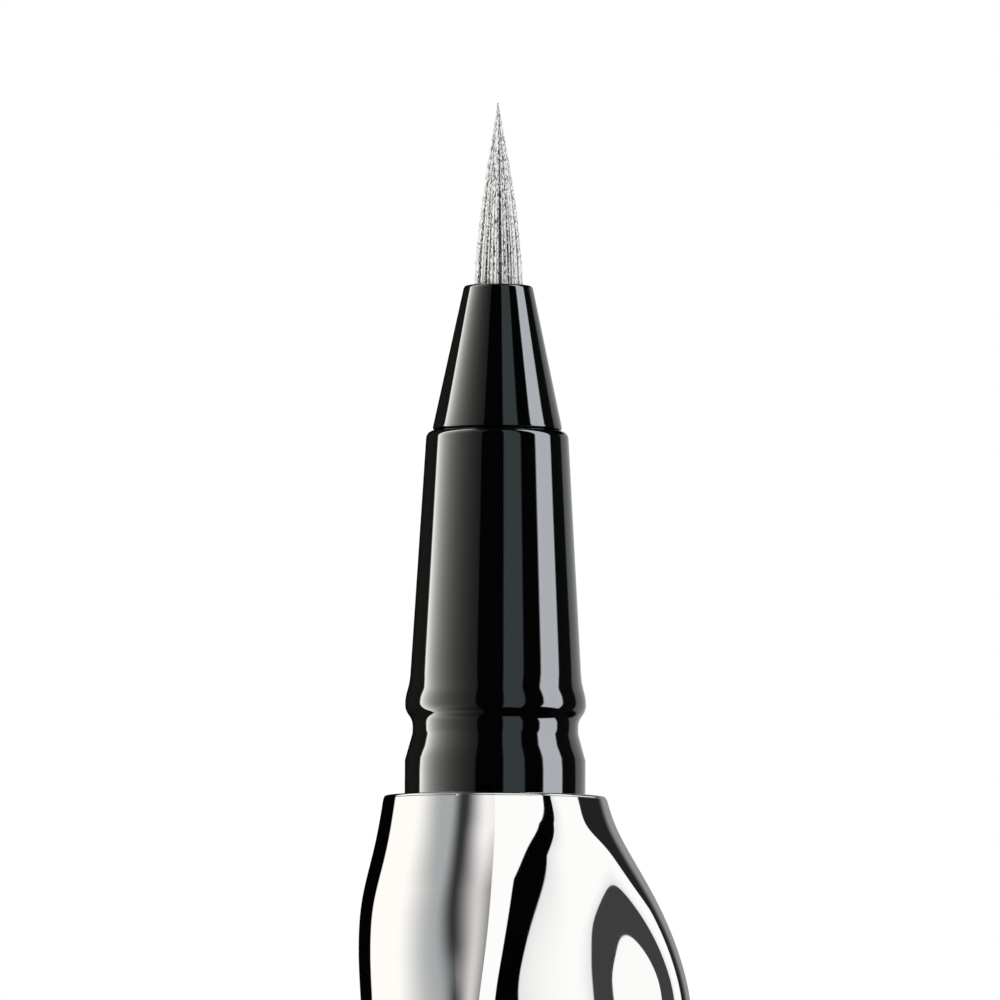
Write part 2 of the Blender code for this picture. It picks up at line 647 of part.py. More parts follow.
def cap(collection):
    """The chrome cap with its foot, liner, sprung seal cup and spring."""
    chrome = finish("cap_chrome", (0.9, 0.9, 0.9), 0.04, 1.0)
    shell_end = FOOT_THICKNESS + SEAT_GAP
    shell = loft(
        "cap_shell",
        CAP_SECTION_SHARES,
        CAP_LENGTH,
        CAP_LENGTH - shell_end,
        CAP_RINGS,
        1.0,
        chrome,
        collection,
    )
    lip_z = CAP_LENGTH - CAP_LIP_LENGTH
    corners = [
        (0.0, CAP_LENGTH + CUT_OVERRUN, 0),
        (MOUTH_BORE_RADIUS, CAP_LENGTH + CUT_OVERRUN, 0),
        (MOUTH_BORE_RADIUS, lip_z, 0),
        (CAP_BORE_RADIUS, lip_z, 0),
        (CAP_BORE_RADIUS, -CUT_OVERRUN, 0),
        (0.0, -CUT_OVERRUN, 0),
    ]
    combine(shell, turned("cap_bore", corners, chrome, CUTTERS, ROUND_STEPS, ring=False), "DIFFERENCE")

    foot = finish("foot_chrome", (0.9, 0.9, 0.9), 0.05, 1.0)
    corners = [
        (0.0, FOOT_TOP_Z, 0),
        (LINER_RADIUS, FOOT_TOP_Z, 0),
        (LINER_RADIUS, FOOT_THICKNESS, 0),
        (FOOT_RADIUS, FOOT_THICKNESS, 0),
        (FOOT_RADIUS, 0.0, FOOT_CORNER),
        (0.0, 0.0, 0),
    ]
    turned("cap_foot", corners, foot, collection, ROUND_STEPS, ring=False)

    black = finish("liner_plastic", (0.02, 0.02, 0.02), 0.35)
    liner_top = lip_z - SEAT_GAP
    liner_end = SEAL_FLANGE_Z + SEAL_FLANGE_THICKNESS + SEAT_GAP
    snap_z = CAP_LENGTH - GROOVE_OFFSET - GROOVE_LENGTH / 2.0
    snap_radius = COLLAR_RADIUS + SNAP_CLEARANCE
    corners = [
        (LINER_RADIUS, liner_top, 0),
        (LINER_RADIUS, liner_end, 0),
        (GUIDE_RADIUS, liner_end, 0),
        (GUIDE_RADIUS, LINER_STEP_HEIGHT, 0),
        (MOUTH_BORE_RADIUS, LINER_STEP_HEIGHT, 0),
        (MOUTH_BORE_RADIUS, snap_z - SNAP_RING_HEIGHT / 2.0, 0),
        (snap_radius, snap_z, 0),
        (MOUTH_BORE_RADIUS, snap_z + SNAP_RING_HEIGHT / 2.0, 0),
        (MOUTH_BORE_RADIUS, liner_top, 0),
    ]
    turned("cap_liner", corners, black, collection, ROUND_STEPS)

    soft = finish("seal_elastomer", (0.5, 0.5, 0.5), 0.6)
    flange_top = SEAL_FLANGE_Z + SEAL_FLANGE_THICKNESS
    floor = SEAL_FLANGE_Z + SEAL_FLOOR
    corners = [
        (0.0, floor, 0),
        (SEAL_BORE_RADIUS, floor, 0),
        (SEAL_BORE_RADIUS, SEAL_LIP_HEIGHT, 0),
        (SEAL_RADIUS, SEAL_LIP_HEIGHT, 0),
        (SEAL_RADIUS, flange_top, 0),
        (SEAL_FLANGE_RADIUS, flange_top, 0),
        (SEAL_FLANGE_RADIUS, SEAL_FLANGE_Z, 0),
        (0.0, SEAL_FLANGE_Z, 0),
    ]
    turned("cap_seal", corners, soft, collection, ROUND_STEPS, ring=False)

    wire = finish("spring_steel", (0.55, 0.55, 0.55), 0.25, 1.0)
    seal_spring(wire, collection)


def seal_spring(material, collection):
    """The seal's compression spring, a helix of round wire."""
    lowest = FOOT_TOP_Z + SEAT_GAP + SPRING_WIRE_RADIUS
    rise = SPRING_LENGTH - 2.0 * SPRING_WIRE_RADIUS
    count = SPRING_TURNS * SPRING_POINTS_PER_TURN + 1
    route = []
    for index in range(count):
        share = index / (count - 1)
        turn = 2.0 * math.pi * SPRING_TURNS * share
        x = SPRING_RADIUS * math.cos(turn)
        y = SPRING_RADIUS * math.sin(turn)
        route.append(Vector((x, y, lowest + rise * share)))
    curve = bpy.data.curves.new("cap_spring", "CURVE")
    curve.dimensions = "3D"
    curve.bevel_depth = SPRING_WIRE_RADIUS
    curve.bevel_resolution = 1
    curve.use_fill_caps = True
    wire = curve.splines.new("POLY")
    wire.points.add(count - 1)
    for point, place_on_route in zip(wire.points, route):
        point.co = (*place_on_route, 1.0)
    thing = bpy.data.objects.new("cap_spring", curve)
    thing.data.materials.append(material)
    collection.objects.link(thing)
    apart = SPRING_POINTS_PER_TURN // 2
    nearest = min(
        (high - low).length
        for index, low in enumerate(route)
        for high in route[index + apart :]
    )
    gap = nearest - 2.0 * SPRING_WIRE_RADIUS
    print(f"cap_spring: least gap to itself {gap * 1000.0:.2f} mm")


PART, CUTTERS = clear_scene()
front_section(PART)
brush(PART)
ink_feed(PART)
ink_tank(PART)
chrome_body(PART)
cap(PART)
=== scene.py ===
"""Liquid eyeliner pen, posted on its cap: its finishes, its studio and its camera.

Metres, +Z up along the pen, with the photographed side towards -Y. Azimuths run
from the front towards +X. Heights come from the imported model, and each class
holds the other sizes of the pieces that it builds.
"""

import logging
import math
import random
from collections.abc import Sequence
from dataclasses import astuple, dataclass
from enum import Enum
from typing import Any

import bmesh
import bpy
import numpy as np
from mathutils import Matrix, Vector


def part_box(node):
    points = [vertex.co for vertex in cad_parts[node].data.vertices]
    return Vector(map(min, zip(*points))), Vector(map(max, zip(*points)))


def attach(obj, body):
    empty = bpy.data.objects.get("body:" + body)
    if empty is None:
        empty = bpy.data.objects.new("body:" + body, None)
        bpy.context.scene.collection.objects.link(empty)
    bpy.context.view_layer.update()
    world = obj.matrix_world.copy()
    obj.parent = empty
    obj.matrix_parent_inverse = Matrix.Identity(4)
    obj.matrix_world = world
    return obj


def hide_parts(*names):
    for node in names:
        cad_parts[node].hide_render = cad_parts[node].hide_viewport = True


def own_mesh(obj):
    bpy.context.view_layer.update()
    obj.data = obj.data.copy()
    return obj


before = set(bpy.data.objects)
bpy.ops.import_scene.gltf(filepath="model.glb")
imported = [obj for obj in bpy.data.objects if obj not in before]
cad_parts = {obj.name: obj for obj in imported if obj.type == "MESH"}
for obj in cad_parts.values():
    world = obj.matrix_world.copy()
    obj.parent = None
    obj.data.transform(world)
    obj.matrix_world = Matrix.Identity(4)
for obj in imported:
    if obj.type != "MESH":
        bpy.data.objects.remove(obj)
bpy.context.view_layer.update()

LOG = logging.getLogger("liquid_eyeliner_pen")
MILLIMETRE = 0.001
SMOOTH_ANGLE = math.radians(32.0)
ARC_STEP = math.radians(7.5)
WELD_DISTANCE = 1e-7
ABS_IOR = 1.54
POLYPROPYLENE_IOR = 1.49
Feed = bpy.types.Node | bpy.types.NodeSocket


class Body(Enum):
    """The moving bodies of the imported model."""

    CAP = "cap"
    PEN = "pen"
    SEAL_CUP = "seal_cup"
    LOWER_BALL = "lower_ball"
    UPPER_BALL = "upper_ball"


class Slot(Enum):
    """The record's material slots."""

    BODY_CHROME = "body_chrome"
    CAP_CHROME = "cap_chrome"
    GLOSS = "black_gloss_plastic"
    MATTE = "black_matte_plastic"
    BRUSH = "brush_nylon"
    WHITE = "white_plastic"
    TANK = "tank_plastic"
    FIBRE = "feed_fibre"
    SEAL = "seal_plastic"
    RUBBER = "black_rubber"
    STEEL = "steel"


class Outline(Enum):
    """Outline of a panel in the reflection domes."""

    STRAIGHT = "straight"
    ARCHED = "arched"


def linear(colour: str, strength: float = 1.0) -> tuple[float, float, float, float]:
    """Turn an sRGB colour into linear light, by the sRGB standard's curve.

    Args:
        colour: The colour as #rrggbb.
        strength: Factor on the linear values.

    Returns:
        Linear red, green and blue, and an alpha of one.
    """
    values = []
    for start in (1, 3, 5):
        share = int(colour[start : start + 2], 16) / 255.0
        value = share / 12.92 if share <= 0.04045 else ((share + 0.055) / 1.055) ** 2.4
        values.append(value * strength)
    return values[0], values[1], values[2], 1.0


def add_node(
    tree: bpy.types.NodeTree, kind: str, inputs: dict[str | int, Any] | None = None, **settings: Any
) -> bpy.types.Node:
    """Add a node with its options set and its inputs set or linked.

    Args:
        tree: The node tree that gets the node.
        kind: The node's type name.
        inputs: For each input, its value or what feeds it. A node feeds by its first output.
        **settings: The node's own options.

    Returns:
        The new node.
    """
    made = tree.nodes.new(kind)
    for option, value in settings.items():
        setattr(made, option, value)
    for place, value in (inputs or {}).items():
        if isinstance(value, bpy.types.Node):
            value = value.outputs[0]
        if isinstance(value, bpy.types.NodeSocket):
            tree.links.new(value, made.inputs[place])
        else:
            made.inputs[place].default_value = value
    return made


@dataclass(frozen=True)
class Pattern:
    """Unevenness of a real size, and what it does to a surface.

    The stretch is how many times longer it is along the pen. The gloss is the
    least and the most that it adds to the roughness. The tint is a colour that
    it blends in, up to the tint's share. The depth is that of its relief. The
    noise seldom leaves its reach.
    """

    size_mm: float
    stretch: float = 1.0
    gloss: tuple[float, float] | None = None
    tint: str = ""
    tint_share: float = 1.0
    depth_mm: float = 0.0
    detail: float = 3.0
    reach: tuple[float, float] = (0.3, 0.7)

    def value(
        self, tree: bpy.types.NodeTree, place: Feed, low: float = 0.0, high: float = 1.0
    ) -> bpy.types.Node:
        """Make a value that is uneven over the surface.

        Args:
            tree: The material's node tree.
            place: The point's place on the object, in metres.
            low: The lowest value.
            high: The highest value.

        Returns:
            The node that gives the value.
        """
        across = 1.0 / (self.size_mm * MILLIMETRE)
        scale = (across, across, across / self.stretch)
        scaled = add_node(tree, "ShaderNodeVectorMath", {0: place, 1: scale}, operation="MULTIPLY")
        noise = {"Vector": scaled, "Scale": 1.0, "Detail": self.detail}
        start, end = self.reach
        limits = {"From Min": start, "From Max": end, "To Min": low, "To Max": high}
        limits["Value"] = add_node(tree, "ShaderNodeTexNoise", noise)
        return add_node(tree, "ShaderNodeMapRange", limits)


@dataclass(frozen=True)
class Finish:
    """A real material and how its surface was made."""

    name: str
    colour: str
    roughness: float
    metallic: float = 0.0
    ior: float = 1.5
    translucency: float = 0.0
    scattering: float = 0.0
    scattering_mm: float = 0.6
    patterns: tuple[Pattern, ...] = ()

    def material(self) -> bpy.types.Material:
        """Make the Blender material, once for all its pieces.

        Returns:
            The material.
        """
        made = bpy.data.materials.get(self.name)
        if made:
            return made
        made = bpy.data.materials.new(self.name)
        made.use_nodes = True
        tree = made.node_tree
        tree.nodes.clear()
        place = add_node(tree, "ShaderNodeTexCoord").outputs["Object"]
        inputs = {
            "Base Color": linear(self.colour),
            "Roughness": self.roughness,
            "Metallic": self.metallic,
            "IOR": self.ior,
            "Transmission Weight": self.translucency,
            "Subsurface Weight": self.scattering,
            "Subsurface Scale": self.scattering_mm * MILLIMETRE,
            **self.dressing(tree, place),
        }
        shader = add_node(tree, "ShaderNodeBsdfPrincipled", inputs)
        add_node(tree, "ShaderNodeOutputMaterial", {"Surface": shader})
        return made

    def dressing(self, tree: bpy.types.NodeTree, place: Feed) -> dict[str, Feed]:
        """Make what varies over the surface.

        Args:
            tree: The material's node tree.
            place: The point's place on the object, in metres.

        Returns:
            For each input of the shader that varies, what feeds it.
        """
        feeds: dict[str, Feed] = {}
        for pattern in self.patterns:
            if pattern.gloss:
                low, high = (self.roughness + change for change in pattern.gloss)
                feeds["Roughness"] = pattern.value(tree, place, low, high)
            if pattern.tint:
                factor = pattern.value(tree, place, high=pattern.tint_share)
                colours = {"Factor": factor, "A": linear(self.colour), "B": linear(pattern.tint)}
                mixed = add_node(tree, "ShaderNodeMix", colours, data_type="RGBA")
                feeds["Base Color"] = mixed.outputs["Result"]
            if pattern.depth_mm:
                relief = {"Height": pattern.value(tree, place), "Strength": 1.0}
                relief["Distance"] = pattern.depth_mm * MILLIMETRE
                feeds["Normal"] = add_node(tree, "ShaderNodeBump", relief)
        return feeds


@dataclass(frozen=True)
class PolishedMetal(Finish):
    """Metal with a mirror polish: its reflections waver a little, because
    polishing leaves no true plane, and a faint haze lies over them."""

    metallic: float = 1.0
    patterns: tuple[Pattern, ...] = (
        Pattern(4.0, gloss=(0.0, 0.02)),
        Pattern(3.0, depth_mm=0.00015),
    )


@dataclass(frozen=True)
class DrawnSteel(Finish):
    """Stainless steel drawn through a die: bright, with fine lines lengthways."""

    metallic: float = 1.0
    patterns: tuple[Pattern, ...] = (Pattern(0.04, 30.0, gloss=(0.0, 0.15)),)


@dataclass(frozen=True)
class MouldedGloss(Finish):
    """Black ABS moulded in a polished tool: deep black under a wet gloss, with
    a little unevenness where the melt flowed along the piece."""

    patterns: tuple[Pattern, ...] = (Pattern(1.2, 6.0, gloss=(0.0, 0.025)),)


@dataclass(frozen=True)
class SparkErodedPlastic(Finish):
    """Plastic moulded in a spark-eroded tool: an even dry grain that scatters
    the light. The grain is drawn at about its real size."""

    patterns: tuple[Pattern, ...] = (
        Pattern(0.06, depth_mm=0.004),
        Pattern(0.48, gloss=(-0.06, 0.06)),
    )


@dataclass(frozen=True)
class NaturalPolymer(Finish):
    """Unpigmented plastic: milky, with light that enters and spreads, and a
    soft sheen from a plain ground tool."""

    scattering: float = 0.4
    patterns: tuple[Pattern, ...] = (Pattern(1.5, 3.0, tint="#f4f3ee"),)


@dataclass(frozen=True)
class BondedFibre(Finish):
    """Fibres bonded side by side into a porous rod: pale, matt and streaked
    lengthways."""

    patterns: tuple[Pattern, ...] = (Pattern(0.03, 40.0, tint="#b9b3a6", depth_mm=0.0075),)


@dataclass(frozen=True)
class SoftElastomer(Finish):
    """Moulded soft elastomer: a close, dull skin, slightly dusty."""

    patterns: tuple[Pattern, ...] = (
        Pattern(0.25, tint="#c9cbcc", tint_share=0.5, depth_mm=0.0025),
    )


@dataclass(frozen=True)
class NitrileRubber(Finish):
    """Moulded black rubber: a close, dull skin with a grey bloom on it."""

    patterns: tuple[Pattern, ...] = (
        Pattern(0.25, tint="#3a3a3a", tint_share=0.5, depth_mm=0.0025),
    )


@dataclass(frozen=True)
class PaintedBoard(Finish):
    """A board with a rolled coat of matt paint: pale, dull and almost even."""

    patterns: tuple[Pattern, ...] = (
        Pattern(20.0, depth_mm=0.004),
        Pattern(160.0, gloss=(-0.06, 0.06)),
    )


@dataclass(frozen=True)
class BristleNylon(Finish):
    """Tapered nylon filaments: some clear and bright, some darkened by a painted
    shade in their colour, standing for the shade of their neighbours, with
    painted glints broken up along each one. Glints are drawn about as wide as
    one pixel of the photograph, because real ones are finer."""

    # The painted shade: the colour that strands take where they stand for their neighbours' shade.
    shade: str = "#060607"
    # Painted glints: highlights drawn into the colour.
    glint: Pattern = Pattern(0.055, 2.6)
    glint_strength: float = 2.9
    strand_step_mm: float = 2.0
    tone_name: str = "strand_tone"

    def dressing(self, tree: bpy.types.NodeTree, place: Feed) -> dict[str, Feed]:
        """Make each strand's tone of painted shade, with the painted glints along it.

        Args:
            tree: The material's node tree.
            place: The point's place on the object, in metres.

        Returns:
            What feeds the shader's colour.
        """
        tone = add_node(tree, "ShaderNodeAttribute", attribute_name=self.tone_name).outputs["Fac"]
        # Painted glints, moved by each strand's tone so that neighbours do not share one pattern.
        moves = {0: tone, 1: (self.strand_step_mm * MILLIMETRE,) * 3, 2: place}
        moved = add_node(tree, "ShaderNodeVectorMath", moves, operation="MULTIPLY_ADD")
        glints = self.glint.value(tree, moved, -self.glint_strength, self.glint_strength)
        sums = {0: tone, 1: glints}
        light = add_node(tree, "ShaderNodeMath", sums, operation="ADD", use_clamp=True)
        # Tone and painted glints mix the painted shade with the strands' colour.
        colours = {"Factor": light, "A": linear(self.shade), "B": linear(self.colour)}
        mixed = add_node(tree, "ShaderNodeMix", colours, data_type="RGBA")
        return {"Base Color": mixed.outputs["Result"]}


# Bright chrome plated on a polished zinc casting: a clean, nearly white mirror.
BODY_PLATING = PolishedMetal("body_plated_chrome", "#f7f7f6", 0.015)
CAP_PLATING = PolishedMetal("cap_plated_chrome", "#f7f7f6", 0.015)
# Bearing steel lapped round: a greyer mirror, under more haze.
BALL_STEEL = PolishedMetal("ball_lapped_steel", "#c4c2be", 0.08)
TUBE_STEEL = DrawnSteel("tube_drawn_steel", "#c9c8c4", 0.2)
SPRING_STEEL = DrawnSteel("spring_drawn_steel", "#b9b7b2", 0.28)
BARREL_ABS = MouldedGloss("barrel_moulded_abs", "#040404", 0.035, ior=ABS_IOR)
NOSE_ABS = MouldedGloss("nose_moulded_abs", "#040404", 0.035, ior=ABS_IOR)
TAIL_ABS = MouldedGloss("tail_moulded_abs", "#060606", 0.06, ior=ABS_IOR)
SLEEVE_ABS = SparkErodedPlastic("sleeve_eroded_abs", "#1c1c1c", 0.5, ior=ABS_IOR)
LINER_POLYPROPYLENE = SparkErodedPlastic(
    "liner_eroded_polypropylene", "#131313", 0.42, ior=POLYPROPYLENE_IOR
)
HOLDER_ACETAL = NaturalPolymer("holder_acetal", "#e6e5df", 0.4, ior=1.48)
COMB_ABS = NaturalPolymer("collector_natural_abs", "#e2e0d6", 0.32, ior=ABS_IOR)
TANK_POLYPROPYLENE = NaturalPolymer(
    "tank_natural_polypropylene", "#dcdcd6", 0.25, ior=POLYPROPYLENE_IOR, translucency=0.35
)
STOPPER_POLYETHYLENE = NaturalPolymer("stopper_polyethylene", "#e3e3df", 0.38, ior=1.51)
BRISTLES = BristleNylon("brush_tapered_nylon", "#fdfcfa", 0.35, ior=1.53)
FEED_POLYESTER = BondedFibre("feed_bonded_polyester", "#ece8dc", 0.9, ior=1.57)
SEAL_ELASTOMER = SoftElastomer("seal_soft_elastomer", "#a9abad", 0.55, ior=POLYPROPYLENE_IOR)
GASKET_RUBBER = NitrileRubber("gasket_nitrile_rubber", "#0d0d0d", 0.7, ior=1.52)
FLOOR_BOARD = PaintedBoard("studio_floor_board", "#f1f1ef", 0.9)


@dataclass(frozen=True)
class Corner:
    """A corner of a turned outline."""

    radius: float
    height: float
    fillet: float = 0.0

    @property
    def point(self) -> Vector:
        """The corner in the outline's plane."""
        return Vector((self.radius, self.height))


def rounded(corners: Sequence[Corner], ring: bool) -> list[Vector]:
    """Round an outline's corners with true arcs.

    Args:
        corners: The outline's corners in order.
        ring: Whether the outline closes on itself.

    Returns:
        Points (radius, height) along the outline.
    """
    points: list[Vector] = []
    count = len(corners)
    for index, corner in enumerate(corners):
        here = corner.point
        if not corner.fillet or (not ring and index in (0, count - 1)):
            points.append(here)
            continue
        before = corners[index - 1].point - here
        after = corners[(index + 1) % count].point - here
        half = before.angle(after) / 2.0
        limit = min(before.length, after.length) / 2.0
        reach = min(corner.fillet / math.tan(half), limit)
        radius = reach * math.tan(half)
        middle = (before.normalized() + after.normalized()).normalized()
        centre = here + middle * math.hypot(reach, radius)
        start = here + before.normalized() * reach - centre
        sweep = start.angle_signed(here + after.normalized() * reach - centre)
        steps = max(2, math.ceil(abs(sweep) / ARC_STEP))
        for step in range(steps + 1):
            turn = Matrix.Rotation(-sweep * step / steps, 2)
            points.append(centre + turn @ start)
    return points


def subdivided(points: Sequence[Vector], longest: float) -> list[Vector]:
    """Add points so that no stretch of an outline is longer than a limit.

    Args:
        points: The outline, taken as closed.
        longest: The limit.

    Returns:
        The outline with the added points.
    """
    dense: list[Vector] = []
    for here, there in zip(points, [*points[1:], points[0]]):
        steps = max(1, math.ceil((there - here).length / longest))
        dense += [here.lerp(there, step / steps) for step in range(steps)]
    return dense


def tube_outline(
    radius: float, bore: float, heights: tuple[float, float], fillet: float
) -> list[Corner]:
    """Corners of a straight tube's wall.

    Args:
        radius: The tube's outside radius.
        bore: Its inside radius.
        heights: Its lower and its upper end.
        fillet: Fillet of its edges.

    Returns:
        The corners.
    """
    end, top = heights
    places = ((radius, top), (radius, end), (bore, end), (bore, top))
    return [Corner(across, height, fillet) for across, height in places]


def placed(name: str, data: bpy.types.ID) -> bpy.types.Object:
    """Put an object in the scene.

    Args:
        name: The object's name.
        data: Its mesh or camera.

    Returns:
        The new object.
    """
    thing = bpy.data.objects.new(name, data)
    bpy.context.scene.collection.objects.link(thing)
    return thing


def ring_faces(count: int, around: int, closed: bool) -> np.ndarray:
    """Faces between neighbouring rings of points.

    Args:
        count: How many rings there are.
        around: Points in each ring.
        closed: Whether the last ring joins the first.

    Returns:
        The four corners of each face.
    """
    places = np.arange(count * around).reshape(count, around)
    following = np.roll(places, -1, axis=1)
    corners = (places, np.roll(places, -1, axis=0), np.roll(following, -1, axis=0), following)
    last = count if closed else count - 1
    return np.stack([corner[:last] for corner in corners], axis=-1).reshape(-1, 4)


def ring_solid(name: str, rings: np.ndarray, closed: bool = True) -> bpy.types.Object:
    """Join rings of points into a closed solid, with doubled points welded.

    Args:
        name: The object's name.
        rings: Points, as an array of rings by points by three.
        closed: Whether the last ring joins the first. Open ends are capped.

    Returns:
        The new object, smooth but for its true edges.
    """
    faces = ring_faces(*rings.shape[:2], closed)
    mesh = bpy.data.meshes.new(name)
    mesh.from_pydata(rings.reshape(-1, 3).tolist(), [], faces.tolist())
    cage = bmesh.new()
    cage.from_mesh(mesh)
    bmesh.ops.remove_doubles(cage, verts=cage.verts, dist=WELD_DISTANCE)
    if not closed:
        bmesh.ops.holes_fill(cage, edges=[edge for edge in cage.edges if edge.is_boundary], sides=0)
        bmesh.ops.recalc_face_normals(cage, faces=cage.faces)
    cage.to_mesh(mesh)
    cage.free()
    mesh.shade_smooth()
    mesh.set_sharp_from_angle(angle=SMOOTH_ANGLE)
    return placed(name, mesh)


def swept(
    name: str, radii: np.ndarray, heights: np.ndarray, closed: bool = True
) -> bpy.types.Object:
    """Join rings about the pen's axis into a solid.

    Args:
        name: The object's name.
        radii: Radii, as an array of rings by points.
        heights: Each ring's height.
        closed: Whether the last ring joins the first.

    Returns:
        The new object.
    """
    azimuths = np.linspace(0.0, math.tau, radii.shape[1], endpoint=False)
    across, depth = radii * np.sin(azimuths), -radii * np.cos(azimuths)
    height = np.broadcast_to(heights[:, None], radii.shape)
    return ring_solid(name, np.stack((across, depth, height), axis=-1), closed)


def turned(
    name: str,
    corners: Sequence[Corner],
    ring: bool = True,
    segments: int = 128,
    longest: float = 0.004,
) -> bpy.types.Object:
    """Turn an outline about the pen's axis.

    Args:
        name: The object's name.
        corners: Its corners, clockwise with the radius to the right.
        ring: Whether the outline closes on itself or ends on the axis.
        segments: Faces around.
        longest: Longest face along the outline.

    Returns:
        The new object.
    """
    outline = rounded(corners, ring)
    if ring:
        outline = subdivided(outline, longest)
    radii, heights = np.array([tuple(point) for point in outline]).T
    return swept(name, np.tile(radii[:, None], segments), heights, closed=ring)


def span(node: str) -> tuple[float, float]:
    """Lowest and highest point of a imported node."""
    low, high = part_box(node)
    return low.z, high.z


def seat(
    piece: bpy.types.Object, node: str, finish: Finish, body: Body = Body.PEN
) -> bpy.types.Object:
    """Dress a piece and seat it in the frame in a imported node's stead.

    Args:
        piece: The piece, in place.
        node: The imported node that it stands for.
        finish: Its finish.
        body: The body that carries it.

    Returns:
        The piece.
    """
    piece.data.materials.append(finish.material())
    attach(piece, body.value)
    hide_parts(node)
    return piece


@dataclass(frozen=True)
class Levels:
    """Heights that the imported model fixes, in metres."""

    cap_mouth: float
    tail: float
    rim: float
    step: float
    nose: float
    tip: float

    @classmethod
    def from_frame(cls) -> "Levels":
        """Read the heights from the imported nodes."""
        tops = [span(node)[1] for node in ("front_barrel", "nose_cone", "brush_tuft")]
        return cls(span("cap_shell")[1], *span("outer_shell"), *tops)


@dataclass(frozen=True)
class Section:
    """One cross-section of a chrome casting, as shares of the rim's radius.

    The section is a round core, shifted to +X and +Y, plus a fin and a narrow
    ridge, each with its azimuth in degrees, and a swell on the fin's flank. It
    lies at a share of the casting's length, from zero at the top.
    """

    share: float
    core: float = 1.0
    shift_x: float = 0.0
    shift_y: float = 0.0
    fin: float = 0.0
    fin_azimuth: float = 98.0
    fin_sharpness: float = 3.0
    ridge: float = 0.0
    ridge_azimuth: float = 2.0
    flank: float = 0.0


@dataclass(frozen=True)
class Casting:
    """A chrome-plated zinc casting: a sculpted outside and a turned bore."""

    name: str
    sections: tuple[Section, ...]
    rim_radius: float
    top: float
    end: float
    bore: tuple[Corner, ...]
    ridge_sharpness: float = 22.0
    flank_azimuth: float = 55.0
    flank_sharpness: float = 12.0
    edge_fillet: float = 0.00008
    edge_steps: int = 5
    fine_length: float = 0.012
    ring_pitch: float = 0.00015
    coarse_rings: int = 4
    smoothing: int = 24
    segments: int = 240

    def blended(self, share: float) -> Section:
        """The section at a share down the casting.

        Args:
            share: The share, from zero at the top.

        Returns:
            The section, on a smooth curve through the given ones.
        """
        rows = np.array([astuple(section) for section in self.sections])
        shares, last = rows[:, 0], len(rows) - 1
        index = max(1, min(last, int(np.sum(shares <= share))))
        start, end = rows[index - 1], rows[index]
        width = shares[index] - shares[index - 1]
        along = (share - shares[index - 1]) / width
        slopes = []
        for at in (index - 1, index):
            low, high = max(at - 1, 0), min(at + 1, last)
            slopes.append((rows[high] - rows[low]) / (shares[high] - shares[low]) * width)
        blend = (2 * along**3 - 3 * along**2 + 1) * start
        blend += (along**3 - 2 * along**2 + along) * slopes[0]
        blend += (3 * along**2 - 2 * along**3) * end
        blend += (along**3 - along**2) * slopes[1]
        return Section(share, *blend[1:])

    def radii(self, share: float, azimuths: np.ndarray) -> np.ndarray:
        """Outside radii at a share down the casting.

        Args:
            share: The share, from zero at the top.
            azimuths: Azimuths in radians.

        Returns:
            The radii, in metres.
        """
        form = self.blended(share)
        towards = form.shift_x * np.sin(azimuths) - form.shift_y * np.cos(azimuths)
        radii = towards + np.sqrt(form.core**2 - form.shift_x**2 - form.shift_y**2 + towards**2)
        lobes = (
            (form.fin, form.fin_azimuth, form.fin_sharpness),
            (form.ridge, form.ridge_azimuth, self.ridge_sharpness),
            (form.flank, self.flank_azimuth, self.flank_sharpness),
        )
        for height, azimuth, sharpness in lobes:
            turn = azimuths - math.radians(azimuth)
            radii += max(height, 0.0) * np.exp(sharpness * (np.cos(turn) - 1.0))
        return radii * self.rim_radius

    def outside(self) -> list[tuple[float, np.ndarray]]:
        """Rings of the outside, fine near the top.

        Returns:
            Each ring's height and radii.
        """
        azimuths = np.linspace(0.0, math.tau, self.segments, endpoint=False)
        length = self.top - self.end
        count = round(length / self.ring_pitch)
        radii = np.array([self.radii(ring / count, azimuths) for ring in range(count + 1)])
        for _ in range(self.smoothing):
            radii[1:-1] = (radii[:-2] + 2.0 * radii[1:-1] + radii[2:]) / 4.0
        heights = self.top - length * np.arange(count + 1) / count
        fine = round(self.fine_length / self.ring_pitch)
        kept = [*range(fine), *range(fine, count, self.coarse_rings), count]
        return list(zip(heights[kept], radii[kept]))

    def rounded_edge(
        self, end: tuple[float, np.ndarray], way: float
    ) -> list[tuple[float, np.ndarray]]:
        """Rings of a casting's rounded end, from its face to its side.

        Args:
            end: Height and radii of the end.
            way: One to round upwards from the end, minus one downwards.

        Returns:
            Each ring's height and radii.
        """
        rings = []
        for turn in np.linspace(0.0, math.pi / 2.0, self.edge_steps + 1):
            rise = self.edge_fillet * (1.0 - math.cos(turn))
            inward = self.edge_fillet * (1.0 - math.sin(turn))
            rings.append((end[0] + way * rise, end[1] - inward))
        return rings

    def build(self) -> bpy.types.Object:
        """Build the casting.

        Returns:
            The new object.
        """
        rings = self.outside()
        upper = self.rounded_edge(rings[0], -1.0)
        lower = self.rounded_edge(rings[-1], 1.0)[::-1]
        inner_top, inner_end = upper[-1][0], lower[0][0]
        middle = [ring for ring in rings if inner_end < ring[0] < inner_top]
        bore = [(point.y, np.full(self.segments, point.x)) for point in rounded(self.bore, False)]
        heights, radii = zip(*upper, *middle, *lower, *bore)
        return swept(self.name, np.array(radii), np.array(heights))


